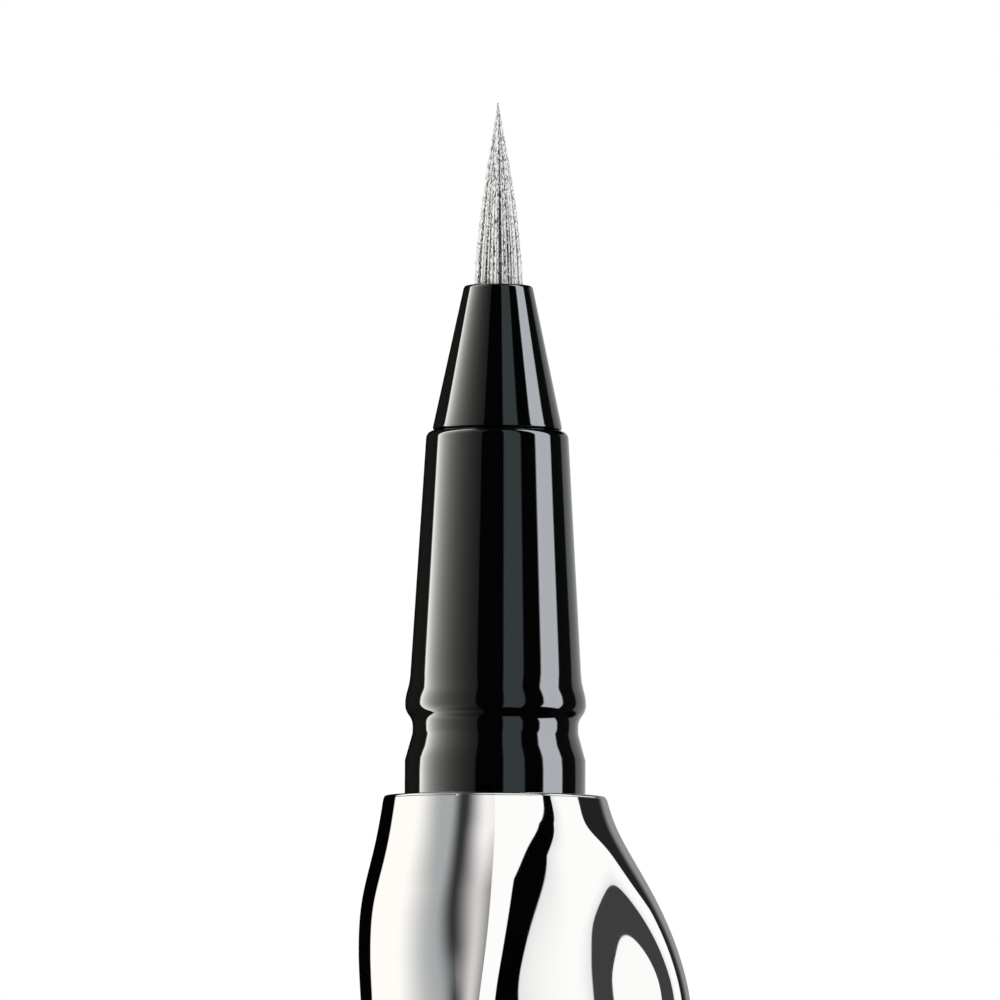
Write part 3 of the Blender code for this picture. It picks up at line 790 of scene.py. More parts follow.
@dataclass(frozen=True)
class ChromeBody:
    """The sculpted chrome body."""

    levels: Levels
    rim_radius: float = 0.00510
    rim_drop: float = 0.00008
    lip_fillet: float = 0.00012
    bore_radius: float = 0.00430
    bore_chamfer: float = 0.0002

    def build(self) -> list[bpy.types.Object]:
        """Build and dress the body.

        Returns:
            Its one piece.
        """
        end, top = self.levels.tail, self.levels.rim - self.rim_drop
        bore = (
            Corner(self.bore_radius + self.bore_chamfer, end),
            Corner(self.bore_radius, end + self.bore_chamfer),
            Corner(self.bore_radius, top - self.bore_chamfer),
            Corner(self.bore_radius + self.bore_chamfer, top),
        )
        sections = (
            Section(0.000),
            Section(0.016, 1.032, -0.004, -0.028, 0.040, 98.0, 3.0, 0.000, 2.0, 0.020),
            Section(0.030, 1.056, -0.018, -0.046, 0.140, 99.0, 3.0, 0.004, 2.0, 0.035),
            Section(0.066, 1.098, -0.096, -0.062, 0.510, 104.0, 3.2, 0.030, 2.0, 0.035),
            Section(0.096, 1.082, -0.134, -0.065, 0.780, 107.5, 3.4, 0.044, -1.0, 0.030),
            Section(0.127, 1.042, -0.150, -0.066, 0.980, 111.0, 3.6, 0.052, -6.0, 0.036),
            Section(0.180, 1.020, -0.130, -0.060, 1.090, 120.0, 3.6, 0.050, -14.0, 0.040),
            Section(0.290, 1.000, -0.060, -0.020, 0.900, 148.0, 3.0, 0.020, -20.0),
            Section(0.430, 1.000, 0.000, 0.000, 0.520, 190.0, 2.5, 0.000, -20.0),
            Section(0.590, 1.020, 0.000, 0.000, 0.380, 235.0, 2.2),
            Section(0.750, 1.030, 0.000, 0.000, 0.500, 285.0, 2.2),
            Section(0.890, 1.020, 0.000, 0.000, 0.240, 325.0, 2.0),
            Section(1.000, 1.000, 0.000, 0.000, 0.000, 345.0, 2.0),
        )
        name = "sculpted_chrome_body"
        body = Casting(name, sections, self.rim_radius, top, end, bore, edge_fillet=self.lip_fillet)
        return [seat(body.build(), "outer_shell", BODY_PLATING)]


@dataclass(frozen=True)
class SnapNeck:
    """The collar, groove and bead that the cap's ring snaps over."""

    collar_radius: float = 0.004145
    collar_length: float = 0.00156
    groove_radius: float = 0.0038
    groove_offset: float = 0.0028
    groove_length: float = 0.0006
    groove_fillet: float = 0.0009
    bead_radius: float = 0.00415
    bead_rise: float = 0.00044
    bead_length: float = 0.00058
    underside_fillet: float = 0.0009
    bead_fillet: float = 0.0020
    runout: float = 0.00073
    taper_radius: float = 0.00394
    taper_fillet: float = 0.0030

    def corners(self, rim: float, way: float) -> list[Corner]:
        """Corners of the neck, out from its rim.

        Args:
            rim: The rim's height.
            way: One for a neck that points up, minus one for down.

        Returns:
            The corners.
        """
        groove_end = self.groove_offset + self.groove_length
        bead_start = groove_end + self.bead_rise
        bead_end = bead_start + self.bead_length
        places = (
            (self.collar_radius, self.collar_length, 0.0),
            (self.groove_radius, self.groove_offset, self.groove_fillet),
            (self.groove_radius, groove_end, self.groove_fillet),
            (self.bead_radius, bead_start, self.underside_fillet),
            (self.bead_radius, bead_end, self.bead_fillet),
            (self.taper_radius, bead_end + self.runout, self.taper_fillet),
        )
        return [Corner(radius, rim + way * offset, fillet) for radius, offset, fillet in places]


@dataclass(frozen=True)
class FrontSection:
    """The black barrel with its snap neck, and the nose cone in it."""

    levels: Levels
    neck: SnapNeck
    step_radius: float = 0.003255
    step_corner: float = 0.00035
    barrel_bore: float = 0.00255
    collar_depth: float = 0.0025
    spigot_radius: float = 0.0033
    spigot_length: float = 0.0080
    nose_radius: float = 0.001572
    nose_corner: float = 0.00026
    nose_rise: float = 0.0001
    nose_hole: float = 0.0013
    nose_land: float = 0.0015
    cone_base_radius: float = 0.002996
    cone_base_corner: float = 0.00012
    cone_seam: float = 0.00003
    cone_spigot: float = 0.0024
    cone_spigot_length: float = 0.0040
    cone_bore: float = 0.00167
    segments: int = 192
    longest: float = 0.0008

    def build(self) -> list[bpy.types.Object]:
        """Build and dress the barrel and the nose cone.

        Returns:
            The two pieces.
        """
        levels = self.levels
        end = levels.rim - self.collar_depth - self.spigot_length
        collar_end = levels.rim - self.collar_depth
        barrel = (
            Corner(self.barrel_bore, levels.step),
            Corner(self.step_radius, levels.step, self.step_corner),
            *reversed(self.neck.corners(levels.rim, 1.0)),
            Corner(self.neck.collar_radius, collar_end),
            Corner(self.spigot_radius, collar_end),
            Corner(self.spigot_radius, end),
            Corner(self.barrel_bore, end),
        )
        nose = levels.nose + self.nose_rise
        base = levels.step + self.cone_seam
        spigot_end = levels.step - self.cone_spigot_length
        land = levels.nose - self.nose_land
        cone = (
            Corner(self.nose_hole, nose),
            Corner(self.nose_radius, nose, self.nose_corner),
            Corner(self.cone_base_radius, base, self.cone_base_corner),
            Corner(self.cone_spigot, base),
            Corner(self.cone_spigot, spigot_end),
            Corner(self.cone_bore, spigot_end),
            Corner(self.cone_bore, land),
            Corner(self.nose_hole, land),
        )
        rows = (
            ("moulded_front_barrel", barrel, "front_barrel", BARREL_ABS),
            ("moulded_nose_cone", cone, "nose_cone", NOSE_ABS),
        )
        pieces = []
        for name, corners, node, finish in rows:
            piece = turned(name, corners, segments=self.segments, longest=self.longest)
            pieces.append(seat(piece, node, finish))
        return pieces


@dataclass(frozen=True)
class Brush:
    """The tuft of tapered filaments."""

    levels: Levels
    radius: float = 0.00113
    root_depth: float = 0.0026
    strand_radius: float = 0.000037
    tip_radius: float = 0.000030
    taper_power: float = 1.6
    pitch: float = 0.000080
    pitch_scatter_share: float = 0.18
    strand_sides: int = 5
    strand_rings: int = 16
    outline_power: float = 1.5
    tip_share: float = 0.04
    tip_lean: float = -0.00007
    middle_end_share: float = 1.025
    outer_end_share: float = 0.98
    end_scatter_share: float = 0.06
    wander: float = 0.000012
    # Tones mix the painted shade into the strands' colour; the low ones stand for strands shaded by
    # their neighbours.
    tones: tuple[float, ...] = (-1.4, -0.5, 0.8, 1.3, 1.6, 1.9, 2.1)
    tone_stride: int = 3
    tone_strays: tuple[int, ...] = (0, 0, 0, 1, 2)
    # The painted shade and light are strongest at the root and even out towards the tip.
    tip_tone: float = 0.45
    root_calm: float = -0.35
    tip_calm: float = 0.45
    seed: int = 12

    def outline(self, share: float) -> float:
        """The tuft's width at a share of its free length, from zero to one."""
        return max(self.tip_share, 1.0 - max(share, 0.0) ** self.outline_power)

    def roots(self) -> list[Vector]:
        """Root places of the strands, on a triangular grid with some scatter.

        Returns:
            The places.
        """
        scatter = random.Random(self.seed)
        reach = self.radius - self.strand_radius
        row_pitch = self.pitch * math.sqrt(3.0) / 2.0
        stray = self.pitch * self.pitch_scatter_share
        rows = int(reach / row_pitch) + 1
        places = []
        for row in range(-rows, rows + 1):
            for column in range(-rows, rows + 1):
                x = (column + (row % 2) / 2.0) * self.pitch + scatter.uniform(-stray, stray)
                y = row * row_pitch + scatter.uniform(-stray, stray)
                if math.hypot(x, y) < reach:
                    places.append(Vector((x, y)))
        return places

    def tone(self, root: Vector, scatter: random.Random) -> float:
        """How light a strand is in its painted shade, dealt out so that like ones seldom touch.

        Args:
            root: Its place at the tuft's root.
            scatter: The source of its small differences.

        Returns:
            Its tone.
        """
        place = round(math.atan2(root.y, root.x) * self.radius / self.pitch)
        stray = scatter.choice(self.tone_strays)
        return self.tones[(self.tone_stride * place + stray) % len(self.tones)]

    def strand(self, root: Vector, scatter: random.Random) -> np.ndarray:
        """Rings of one tapered strand.

        Args:
            root: Its place at the tuft's root.
            scatter: The source of its small differences.

        Returns:
            The rings, from root to tip.
        """
        outward = root.length / self.radius
        end = self.middle_end_share - (self.middle_end_share - self.outer_end_share) * outward
        end -= self.end_scatter_share * outward * scatter.random()
        free = self.levels.tip - self.levels.nose
        buried = -self.root_depth / free
        lean = Vector((scatter.gauss(0.0, self.wander), scatter.gauss(0.0, self.wander)))
        twist = scatter.uniform(0.0, math.tau)
        turns = twist + math.tau * np.arange(self.strand_sides) / self.strand_sides
        rings = np.zeros((self.strand_rings + 1, self.strand_sides, 3))
        for ring, circle in enumerate(rings):
            along = ring / self.strand_rings
            share = buried + (end - buried) * along
            middle = root * self.outline(share) + lean * math.sin(math.pi * along)
            middle.x += self.tip_lean * max(share, 0.0) ** 2
            taper = 1.0 - along**self.taper_power
            thick = self.tip_radius + (self.strand_radius - self.tip_radius) * taper
            circle[:, 0] = middle.x + thick * np.cos(turns)
            circle[:, 1] = middle.y + thick * np.sin(turns)
            circle[:, 2] = self.levels.nose + share * free
        return rings

    def build(self) -> list[bpy.types.Object]:
        """Build and dress the tuft.

        Returns:
            Its one piece.
        """
        scatter = random.Random(self.seed + 1)
        # Each strand gets its tone of painted shade, ring by ring along it.
        calm = np.linspace(self.root_calm, self.tip_calm, self.strand_rings + 1)
        strands, tones = [], []
        for root in self.roots():
            strands.append(self.strand(root, scatter))
            tone = self.tone(root, scatter)
            tones.append(np.repeat(tone + (self.tip_tone - tone) * calm, self.strand_sides))
        outward = [0, 3, 2, 1]
        sides = ring_faces(self.strand_rings + 1, self.strand_sides, closed=False)[:, outward]
        size = (self.strand_rings + 1) * self.strand_sides
        root_end = [*reversed(range(self.strand_sides))]
        tip_end = [*range(size - self.strand_sides, size)]
        strand_faces = [*sides.tolist(), root_end, tip_end]
        faces = []
        for first in range(0, size * len(strands), size):
            faces += [[first + corner for corner in face] for face in strand_faces]
        mesh = bpy.data.meshes.new("brush_filaments")
        mesh.from_pydata(np.array(strands).reshape(-1, 3).tolist(), [], faces)
        tone_layer = mesh.attributes.new(BRISTLES.tone_name, "FLOAT", "POINT")
        tone_layer.data.foreach_set("value", np.concatenate(tones))
        mesh.shade_smooth()
        return [seat(placed("brush_filaments", mesh), "brush_tuft", BRISTLES)]


@dataclass(frozen=True)
class TailPlug:
    """The plug of the body's tail, hollow, with the post that the cap fits."""

    levels: Levels
    neck: SnapNeck
    spigot_radius: float = 0.0033
    spigot_length: float = 0.0024
    spigot_lead: float = 0.0003
    post_wall: float = 0.0010
    post_end_radius: float = 0.0036
    post_corner: float = 0.0008
    floor_fillet: float = 0.0004

    def build(self) -> list[bpy.types.Object]:
        """Build and dress the plug.

        Returns:
            Its one piece.
        """
        end, top = span("tail_plug")
        floor = end + self.post_wall
        shoulder = top - self.spigot_length
        bore = self.spigot_radius - self.post_wall
        corners = (
            Corner(0.0, floor),
            Corner(bore, floor, self.floor_fillet),
            Corner(bore, top),
            Corner(self.spigot_radius, top, self.spigot_lead),
            Corner(self.spigot_radius, shoulder),
            Corner(self.neck.collar_radius, shoulder),
            *self.neck.corners(self.levels.tail, -1.0),
            Corner(self.post_end_radius, end, self.post_corner),
            Corner(0.0, end),
        )
        plug = turned("moulded_tail_plug", corners, ring=False, segments=160)
        return [seat(plug, "tail_plug", TAIL_ABS)]


@dataclass(frozen=True)
class InkFeed:
    """The way of the ink: holder, rod, tube, finned collector and gasket."""

    levels: Levels
    holder_radius: float = 0.00152
    holder_wall: float = 0.00022
    holder_mouth_fillet: float = 0.0001
    tuft_depth: float = 0.0029
    rod_radius: float = 0.00055
    rod_bevel: float = 0.00012
    tube_radius: float = 0.0009
    tube_bore: float = 0.0007
    tube_deburr: float = 0.00005
    fins: int = 8
    fin_radius: float = 0.0024
    fin_thickness: float = 0.0006
    fin_edge: float = 0.0001
    finned_length: float = 0.0168
    root_radius: float = 0.00145
    nipple_radius: float = 0.0019
    nipple_lead: float = 0.0003
    collector_bore: float = 0.00105
    gasket_wire: float = 0.00025
    gasket_ring: float = 0.00225

    def holder(self) -> bpy.types.Object:
        """Build the ferrule that seats the tuft.

        Returns:
            The new object.
        """
        end, top = span("brush_holder")
        ledge = self.levels.nose - self.tuft_depth
        bore = self.holder_radius - self.holder_wall
        corners = (
            Corner(self.holder_radius, top, self.holder_mouth_fillet),
            Corner(self.holder_radius, end, self.holder_mouth_fillet),
            Corner(self.tube_bore, end),
            Corner(self.tube_bore, ledge),
            Corner(bore, ledge),
            Corner(bore, top, self.holder_mouth_fillet),
        )
        return turned("acetal_brush_holder", corners, segments=96)

    def rod(self) -> bpy.types.Object:
        """Build the fibre rod, bevelled at both ends.

        Returns:
            The new object.
        """
        end, top = span("feed_rod")
        face = self.rod_radius - self.rod_bevel
        corners = (
            Corner(0.0, top),
            Corner(face, top),
            Corner(self.rod_radius, top - self.rod_bevel),
            Corner(self.rod_radius, end + self.rod_bevel),
            Corner(face, end),
            Corner(0.0, end),
        )
        return turned("fibre_feed_rod", corners, ring=False, segments=64)

    def tube(self) -> bpy.types.Object:
        """Build the rod's steel tube, with its cut ends deburred."""
        corners = tube_outline(
            self.tube_radius, self.tube_bore, span("feed_tube"), self.tube_deburr
        )
        return turned("steel_feed_tube", corners, segments=80)

    def collector(self) -> bpy.types.Object:
        """Build the comb that holds spare ink between its fins.

        Returns:
            The new object.
        """
        end, top = span("ink_collector")
        pitch = self.finned_length / self.fins
        corners = [Corner(self.collector_bore, top)]
        for fin in range(self.fins):
            fin_top = top - fin * pitch
            fin_end = fin_top - self.fin_thickness
            last = fin == self.fins - 1
            root = self.nipple_radius if last else self.root_radius
            places = [(self.fin_radius, fin_top), (self.fin_radius, fin_end), (root, fin_end)]
            if not last:
                places.append((root, fin_top - pitch))
            corners += [Corner(radius, height, self.fin_edge) for radius, height in places]
        corners.append(Corner(self.nipple_radius, end, self.nipple_lead))
        corners.append(Corner(self.collector_bore, end))
        return turned("finned_ink_collector", corners)

    def gasket(self) -> bpy.types.Object:
        """Build the nipple's round rubber ring.

        Returns:
            The new object.
        """
        middle = sum(span("collector_gasket")) / 2.0
        wire = self.gasket_wire
        inner, outer = self.gasket_ring - wire, self.gasket_ring + wire
        corners = tube_outline(outer, inner, (middle - wire, middle + wire), wire)
        return turned("rubber_collector_gasket", corners)

    def build(self) -> list[bpy.types.Object]:
        """Build and dress the feed.

        Returns:
            Its five pieces.
        """
        return [
            seat(self.holder(), "brush_holder", HOLDER_ACETAL),
            seat(self.rod(), "feed_rod", FEED_POLYESTER),
            seat(self.tube(), "feed_tube", TUBE_STEEL),
            seat(self.collector(), "ink_collector", COMB_ABS),
            seat(self.gasket(), "collector_gasket", GASKET_RUBBER),
        ]


@dataclass(frozen=True)
class InkTank:
    """The sleeve in the body, the tank in it, its stopper and its two balls."""

    sleeve_radius: float = 0.00415
    sleeve_bore: float = 0.00345
    sleeve_lead: float = 0.0002
    tank_radius: float = 0.0032
    tank_bore: float = 0.0026
    tank_lip: float = 0.00015
    stopper_radius: float = 0.00245
    stopper_flange: float = 0.0010
    stopper_lead: float = 0.0004
    rib_height: float = 0.0001
    rib_length: float = 0.0005
    ribs: int = 3
    ball_steps: int = 40

    def stopper(self) -> bpy.types.Object:
        """Build the tank's stopper, with sealing ribs round it.

        Returns:
            The new object.
        """
        end, top = span("tank_plug")
        flange_top = end + self.stopper_flange
        pitch = (top - flange_top) / (self.ribs + 1)
        half = self.rib_length / 2.0
        corners = [Corner(0.0, top), Corner(self.stopper_radius, top, self.stopper_lead)]
        for rib in range(1, self.ribs + 1):
            middle = top - rib * pitch
            corners.append(Corner(self.stopper_radius, middle + half))
            corners.append(Corner(self.stopper_radius + self.rib_height, middle, half))
            corners.append(Corner(self.stopper_radius, middle - half))
        corners.append(Corner(self.stopper_radius, flange_top))
        corners.append(Corner(self.tank_radius, flange_top, self.tank_lip))
        corners.append(Corner(self.tank_radius, end, self.tank_lip))
        corners.append(Corner(0.0, end))
        return turned("polyethylene_tank_stopper", corners, ring=False, segments=112)

    def ball(self, node: str) -> bpy.types.Object:
        """Build a mixing ball as a true turned arc.

        Args:
            node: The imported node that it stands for.

        Returns:
            The new object.
        """
        end, top = span(node)
        radius = (top - end) / 2.0
        corners = []
        for step in range(self.ball_steps + 1):
            turn = math.pi * step / self.ball_steps
            across = 0.0 if step in (0, self.ball_steps) else radius * math.sin(turn)
            corners.append(Corner(across, end + radius + radius * math.cos(turn)))
        return turned("steel_" + node, corners, ring=False, segments=80)

    def build(self) -> list[bpy.types.Object]:
        """Build and dress the tank.

        Returns:
            Its five pieces.
        """
        outline = tube_outline(
            self.sleeve_radius, self.sleeve_bore, span("inner_barrel"), self.sleeve_lead
        )
        sleeve = turned("moulded_inner_barrel", outline)
        outline = tube_outline(self.tank_radius, self.tank_bore, span("ink_tank"), self.tank_lip)
        tank = turned("polypropylene_ink_tank", outline)
        lower = self.ball("mixing_ball_lower")
        upper = self.ball("mixing_ball_upper")
        return [
            seat(sleeve, "inner_barrel", SLEEVE_ABS),
            seat(tank, "ink_tank", TANK_POLYPROPYLENE),
            seat(self.stopper(), "tank_plug", STOPPER_POLYETHYLENE),
            seat(lower, "mixing_ball_lower", BALL_STEEL, Body.LOWER_BALL),
            seat(upper, "mixing_ball_upper", BALL_STEEL, Body.UPPER_BALL),
        ]


@dataclass(frozen=True)
class Cap:
    """The chrome cap, its foot, and the liner, seal and spring inside."""

    levels: Levels
    neck: SnapNeck
    rim_radius: float = 0.00510
    mouth_bore: float = 0.004295
    lip_length: float = 0.0020
    bore_radius: float = 0.0050
    shell_end: float = 0.0015
    foot_radius: float = 0.0056
    foot_corner: float = 0.0004
    foot_edge: float = 0.0001
    foot_thickness: float = 0.0012
    foot_spigot_length: float = 0.0018
    foot_spigot_lead: float = 0.0002
    fit_gap: float = 0.00015
    guide_radius: float = 0.00375
    guide_top: float = 0.0210
    liner_edge: float = 0.0002
    snap_clearance: float = 0.00008
    snap_height: float = 0.0009
    snap_fillet: float = 0.0006
    seal_radius: float = 0.0036
    seal_bore: float = 0.00305
    seal_floor: float = 0.0008
    seal_flange_radius: float = 0.0044
    seal_flange_thickness: float = 0.0006
    seal_edge: float = 0.0001
    seal_root_fillet: float = 0.0006
    seal_travel: float = 0.0012
    spring_radius: float = 0.0030
    spring_wire: float = 0.00018
    spring_turns: float = 3.0
    spring_points: int = 64
    spring_sides: int = 12

    def shell(self) -> bpy.types.Object:
        """Build the cap's shell.

        Returns:
            The new object.
        """
        mouth = self.levels.cap_mouth
        bore = (
            Corner(self.bore_radius, self.shell_end),
            Corner(self.bore_radius, mouth - self.lip_length),
            Corner(self.mouth_bore, mouth - self.lip_length),
            Corner(self.mouth_bore, mouth),
        )
        sections = (
            Section(0.000, 1.000, 0.0, 0.0, 0.000, 345.0, 2.0),
            Section(0.060, 1.070, 0.0, 0.0, 0.020, 350.0, 2.0),
            Section(0.300, 1.150, 0.0, 0.0, 0.220, 375.0, 2.0),
            Section(0.620, 1.180, 0.0, 0.0, 0.180, 420.0, 2.0),
            Section(0.880, 1.130, 0.0, 0.0, 0.030, 450.0, 2.0),
            Section(1.000, 1.098, 0.0, 0.0, 0.000, 460.0, 2.0),
        )
        casting = Casting(
            "chrome_cap_shell",
            sections,
            self.rim_radius,
            mouth,
            self.shell_end,
            bore,
            fine_length=0.003,
            segments=192,
        )
        return casting.build()

    def foot(self) -> bpy.types.Object:
        """Build the cap's flat closed end.

        Returns:
            The new object.
        """
        spigot = self.bore_radius - self.fit_gap
        top = self.foot_thickness + self.foot_spigot_length
        corners = (
            Corner(0.0, top),
            Corner(spigot, top, self.foot_spigot_lead),
            Corner(spigot, self.foot_thickness),
            Corner(self.foot_radius, self.foot_thickness, self.foot_edge),
            Corner(self.foot_radius, 0.0, self.foot_corner),
            Corner(0.0, 0.0),
        )
        return turned("chrome_cap_foot", corners, ring=False, segments=160)

    def liner(self) -> bpy.types.Object:
        """Build the sleeve that guides the seal and holds the snap ring.

        Returns:
            The new object.
        """
        end, top = span("cap_liner")
        outer = self.bore_radius - self.fit_gap
        groove = self.neck.groove_offset + self.neck.groove_length / 2.0
        snap = self.levels.cap_mouth - groove
        crest = self.neck.bead_radius + self.snap_clearance
        half = self.snap_height / 2.0
        edge = self.liner_edge
        corners = (
            Corner(outer, top, edge),
            Corner(outer, end, edge),
            Corner(self.guide_radius, end, edge),
            Corner(self.guide_radius, self.guide_top, edge),
            Corner(self.mouth_bore, self.guide_top),
            Corner(self.mouth_bore, snap - half),
            Corner(crest, snap, self.snap_fillet),
            Corner(self.mouth_bore, snap + half),
            Corner(self.mouth_bore, top, edge / 2.0),
        )
        return turned("moulded_cap_liner", corners, segments=144)

    def seal(self) -> bpy.types.Object:
        """Build the soft cup that closes over the nose.

        Returns:
            The new object.
        """
        end, top = span("cap_seal")
        floor = end + self.seal_floor
        flange_top = end + self.seal_flange_thickness
        edge = self.seal_edge
        corners = (
            Corner(0.0, floor),
            Corner(self.seal_bore, floor, self.seal_root_fillet),
            Corner(self.seal_bore, top, edge),
            Corner(self.seal_radius, top, edge),
            Corner(self.seal_radius, flange_top),
            Corner(self.seal_flange_radius, flange_top, edge),
            Corner(self.seal_flange_radius, end, edge),
            Corner(0.0, end),
        )
        return turned("elastomer_cap_seal", corners, ring=False)

    def spring(self) -> bpy.types.Object:
        """Build the seal's spring, round wire wound from end to end.

        Returns:
            The new object.
        """
        end, top = span("cap_spring")
        wire = self.spring_wire
        shares = np.linspace(0.0, 1.0, round(self.spring_turns * self.spring_points) + 1)[:, None]
        sides = np.linspace(0.0, math.tau, self.spring_sides, endpoint=False)
        turns = math.tau * self.spring_turns * shares
        radii = self.spring_radius + wire * np.cos(sides)
        heights = end + wire + (top - end - 2.0 * wire) * shares + wire * np.sin(sides)
        rings = np.stack((radii * np.cos(turns), radii * np.sin(turns), heights), axis=-1)
        return ring_solid("steel_cap_spring", rings[::-1], closed=False)

    def build(self) -> list[bpy.types.Object]:
        """Build and dress the cap.

        Returns:
            Its five pieces.
        """
        spring = seat(self.spring(), "cap_spring", SPRING_STEEL, Body.CAP)
        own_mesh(spring)
        return [
            seat(self.shell(), "cap_shell", CAP_PLATING, Body.CAP),
            seat(self.foot(), "cap_foot", CAP_PLATING, Body.CAP),
            seat(self.liner(), "cap_liner", LINER_POLYPROPYLENE, Body.CAP),
            seat(self.seal(), "cap_seal", SEAL_ELASTOMER, Body.SEAL_CUP),
            spring,
        ]


@dataclass(frozen=True)
class Panel:
    """A soft box, card or flag of a reflection dome.

    Each edge is a pair of directions in degrees, between which the panel fades.
    A lean moves an edge over as the direction rises from the horizon. The slope
    is how far the top and the bottom rise to the right, per degree. The light
    halves over each stretch of the given degrees from the left edge.
    """

    name: str
    colour: str
    left: tuple[float, float]
    right: tuple[float, float]
    bottom: tuple[float, float] = (-95.0, -91.0)
    top: tuple[float, float] = (91.0, 95.0)
    radiance: float = 1.0
    left_lean: float = 0.0
    right_lean: float = 0.0
    slope: float = 0.0
    halving: float = 0.0
    outline: Outline = Outline.STRAIGHT


@dataclass(frozen=True)
class ReflectionDome:
    """A dome of soft boxes and flags that only mirror reflections see.

    A leaning edge moves over in steps, each with the elevations in degrees at
    which it starts and ends, and its share of the lean.
    """

    name: str
    panels: tuple[Panel, ...]
    radius: float
    centre_height: float
    lets_through: bool
    strength: float = 1.0
    lean_steps: tuple[tuple[float, float, float], ...] = ((15.5, 28.0, 0.68), (27.8, 30.2, 0.32))
    base: str = "#030303"
    hidden_rays: tuple[str, ...] = ("camera", "diffuse", "transmission", "shadow", "volume_scatter")
    segments: int = 48

    def mask(
        self, tree: bpy.types.NodeTree, panel: Panel, azimuth: Feed, elevation: Feed, lean: Feed
    ) -> Feed:
        """How far each direction lies in a panel.

        Args:
            tree: The dome's node tree.
            panel: The panel.
            azimuth: The direction's azimuth in degrees.
            elevation: Its elevation in degrees.
            lean: Share of the panel's lean there.

        Returns:
            What gives the mask, from zero outside to one inside.
        """
        middle = (panel.left[0] + panel.right[1]) / 2.0
        if panel.slope:
            tilt = {0: azimuth, 1: -panel.slope, 2: elevation}
            elevation = add_node(tree, "ShaderNodeMath", tilt, operation="MULTIPLY_ADD")
        bottom, top = (
            [end - panel.slope * middle for end in edge] for edge in (panel.bottom, panel.top)
        )
        if panel.outline is Outline.ARCHED:
            half_width = panel.right[1] - middle
            soft = (panel.left[1] - panel.left[0]) / half_width
            wide = {"Value": azimuth, "From Min": middle, "From Max": panel.right[1]}
            tall = {"Value": elevation, "From Min": bottom[1], "From Max": top[1]}
            across = add_node(tree, "ShaderNodeMapRange", wide, clamp=False)
            up = add_node(tree, "ShaderNodeMapRange", tall, clamp=False)
            up = add_node(tree, "ShaderNodeMath", {0: up, 1: 0.0}, operation="MAXIMUM")
            far = add_node(tree, "ShaderNodeMath", {0: across, 1: across}, operation="MULTIPLY")
            far = add_node(tree, "ShaderNodeMath", {0: up, 1: up, 2: far}, operation="MULTIPLY_ADD")
            edges = [(far, (1.0 - soft, 1.0 + soft), False)]
        else:
            edges = [(elevation, bottom, True), (elevation, top, False)]
            sides = ((panel.left, panel.left_lean, True), (panel.right, panel.right_lean, False))
            for edge, leaning, rises in sides:
                side = azimuth
                if leaning:
                    moved = {0: lean, 1: -leaning, 2: azimuth}
                    side = add_node(tree, "ShaderNodeMath", moved, operation="MULTIPLY_ADD")
                edges.append((side, edge, rises))
        inside: Any = 1.0
        for value, (start, end), rises in edges:
            limits = {"Value": value, "From Min": start, "From Max": end}
            if not rises:
                limits |= {"To Min": 1.0, "To Max": 0.0}
            ramp = add_node(tree, "ShaderNodeMapRange", limits, interpolation_type="SMOOTHSTEP")
            inside = add_node(tree, "ShaderNodeMath", {0: inside, 1: ramp}, operation="MULTIPLY")
        return inside

    def material(self) -> bpy.types.Material:
        """Make the dome's glow.

        Returns:
            The material.
        """
        made = bpy.data.materials.new(self.name + "_glow")
        made.use_nodes = True
        tree = made.node_tree
        tree.nodes.clear()
        position = add_node(tree, "ShaderNodeNewGeometry").outputs["Position"]
        offset = {0: position, 1: (0.0, 0.0, self.centre_height)}
        direction = add_node(tree, "ShaderNodeVectorMath", offset, operation="SUBTRACT")
        direction = add_node(tree, "ShaderNodeVectorMath", {0: direction}, operation="NORMALIZE")
        across, depth, height = add_node(tree, "ShaderNodeSeparateXYZ", {0: direction}).outputs
        towards = add_node(tree, "ShaderNodeMath", {0: depth, 1: -1.0}, operation="MULTIPLY")
        azimuth = add_node(tree, "ShaderNodeMath", {0: across, 1: towards}, operation="ARCTAN2")
        azimuth = add_node(tree, "ShaderNodeMath", {0: azimuth}, operation="DEGREES")
        elevation = add_node(tree, "ShaderNodeMath", {0: height}, operation="ARCSINE")
        elevation = add_node(tree, "ShaderNodeMath", {0: elevation}, operation="DEGREES")
        lean: Any = 0.0
        for start, end, share in self.lean_steps:
            limits = {"Value": elevation, "From Min": start, "From Max": end, "To Max": share}
            step = add_node(tree, "ShaderNodeMapRange", limits)
            lean = add_node(tree, "ShaderNodeMath", {0: lean, 1: step}, operation="ADD")
        colour: Any = linear(self.base)
        for panel in self.panels:
            shine: Any = linear(panel.colour, panel.radiance)
            if panel.halving:
                start = panel.left[0]
                limits = {"Value": azimuth, "From Min": start, "From Max": start + panel.halving}
                away = add_node(tree, "ShaderNodeMapRange", limits, clamp=False)
                share = add_node(tree, "ShaderNodeMath", {0: 0.5, 1: away}, operation="POWER")
                light = {0: shine[:3], "Scale": share}
                shine = add_node(tree, "ShaderNodeVectorMath", light, operation="SCALE")
            mask = self.mask(tree, panel, azimuth, elevation, lean)
            light = {"Factor": mask, "A": colour, "B": shine}
            mixed = add_node(tree, "ShaderNodeMix", light, data_type="RGBA", label=panel.name)
            colour = mixed.outputs["Result"]
        glow = add_node(tree, "ShaderNodeEmission", {"Color": colour, "Strength": self.strength})
        if self.lets_through:
            clear = add_node(tree, "ShaderNodeBsdfTransparent")
            glow = add_node(tree, "ShaderNodeAddShader", {0: glow, 1: clear})
        add_node(tree, "ShaderNodeOutputMaterial", {"Surface": glow})
        return made

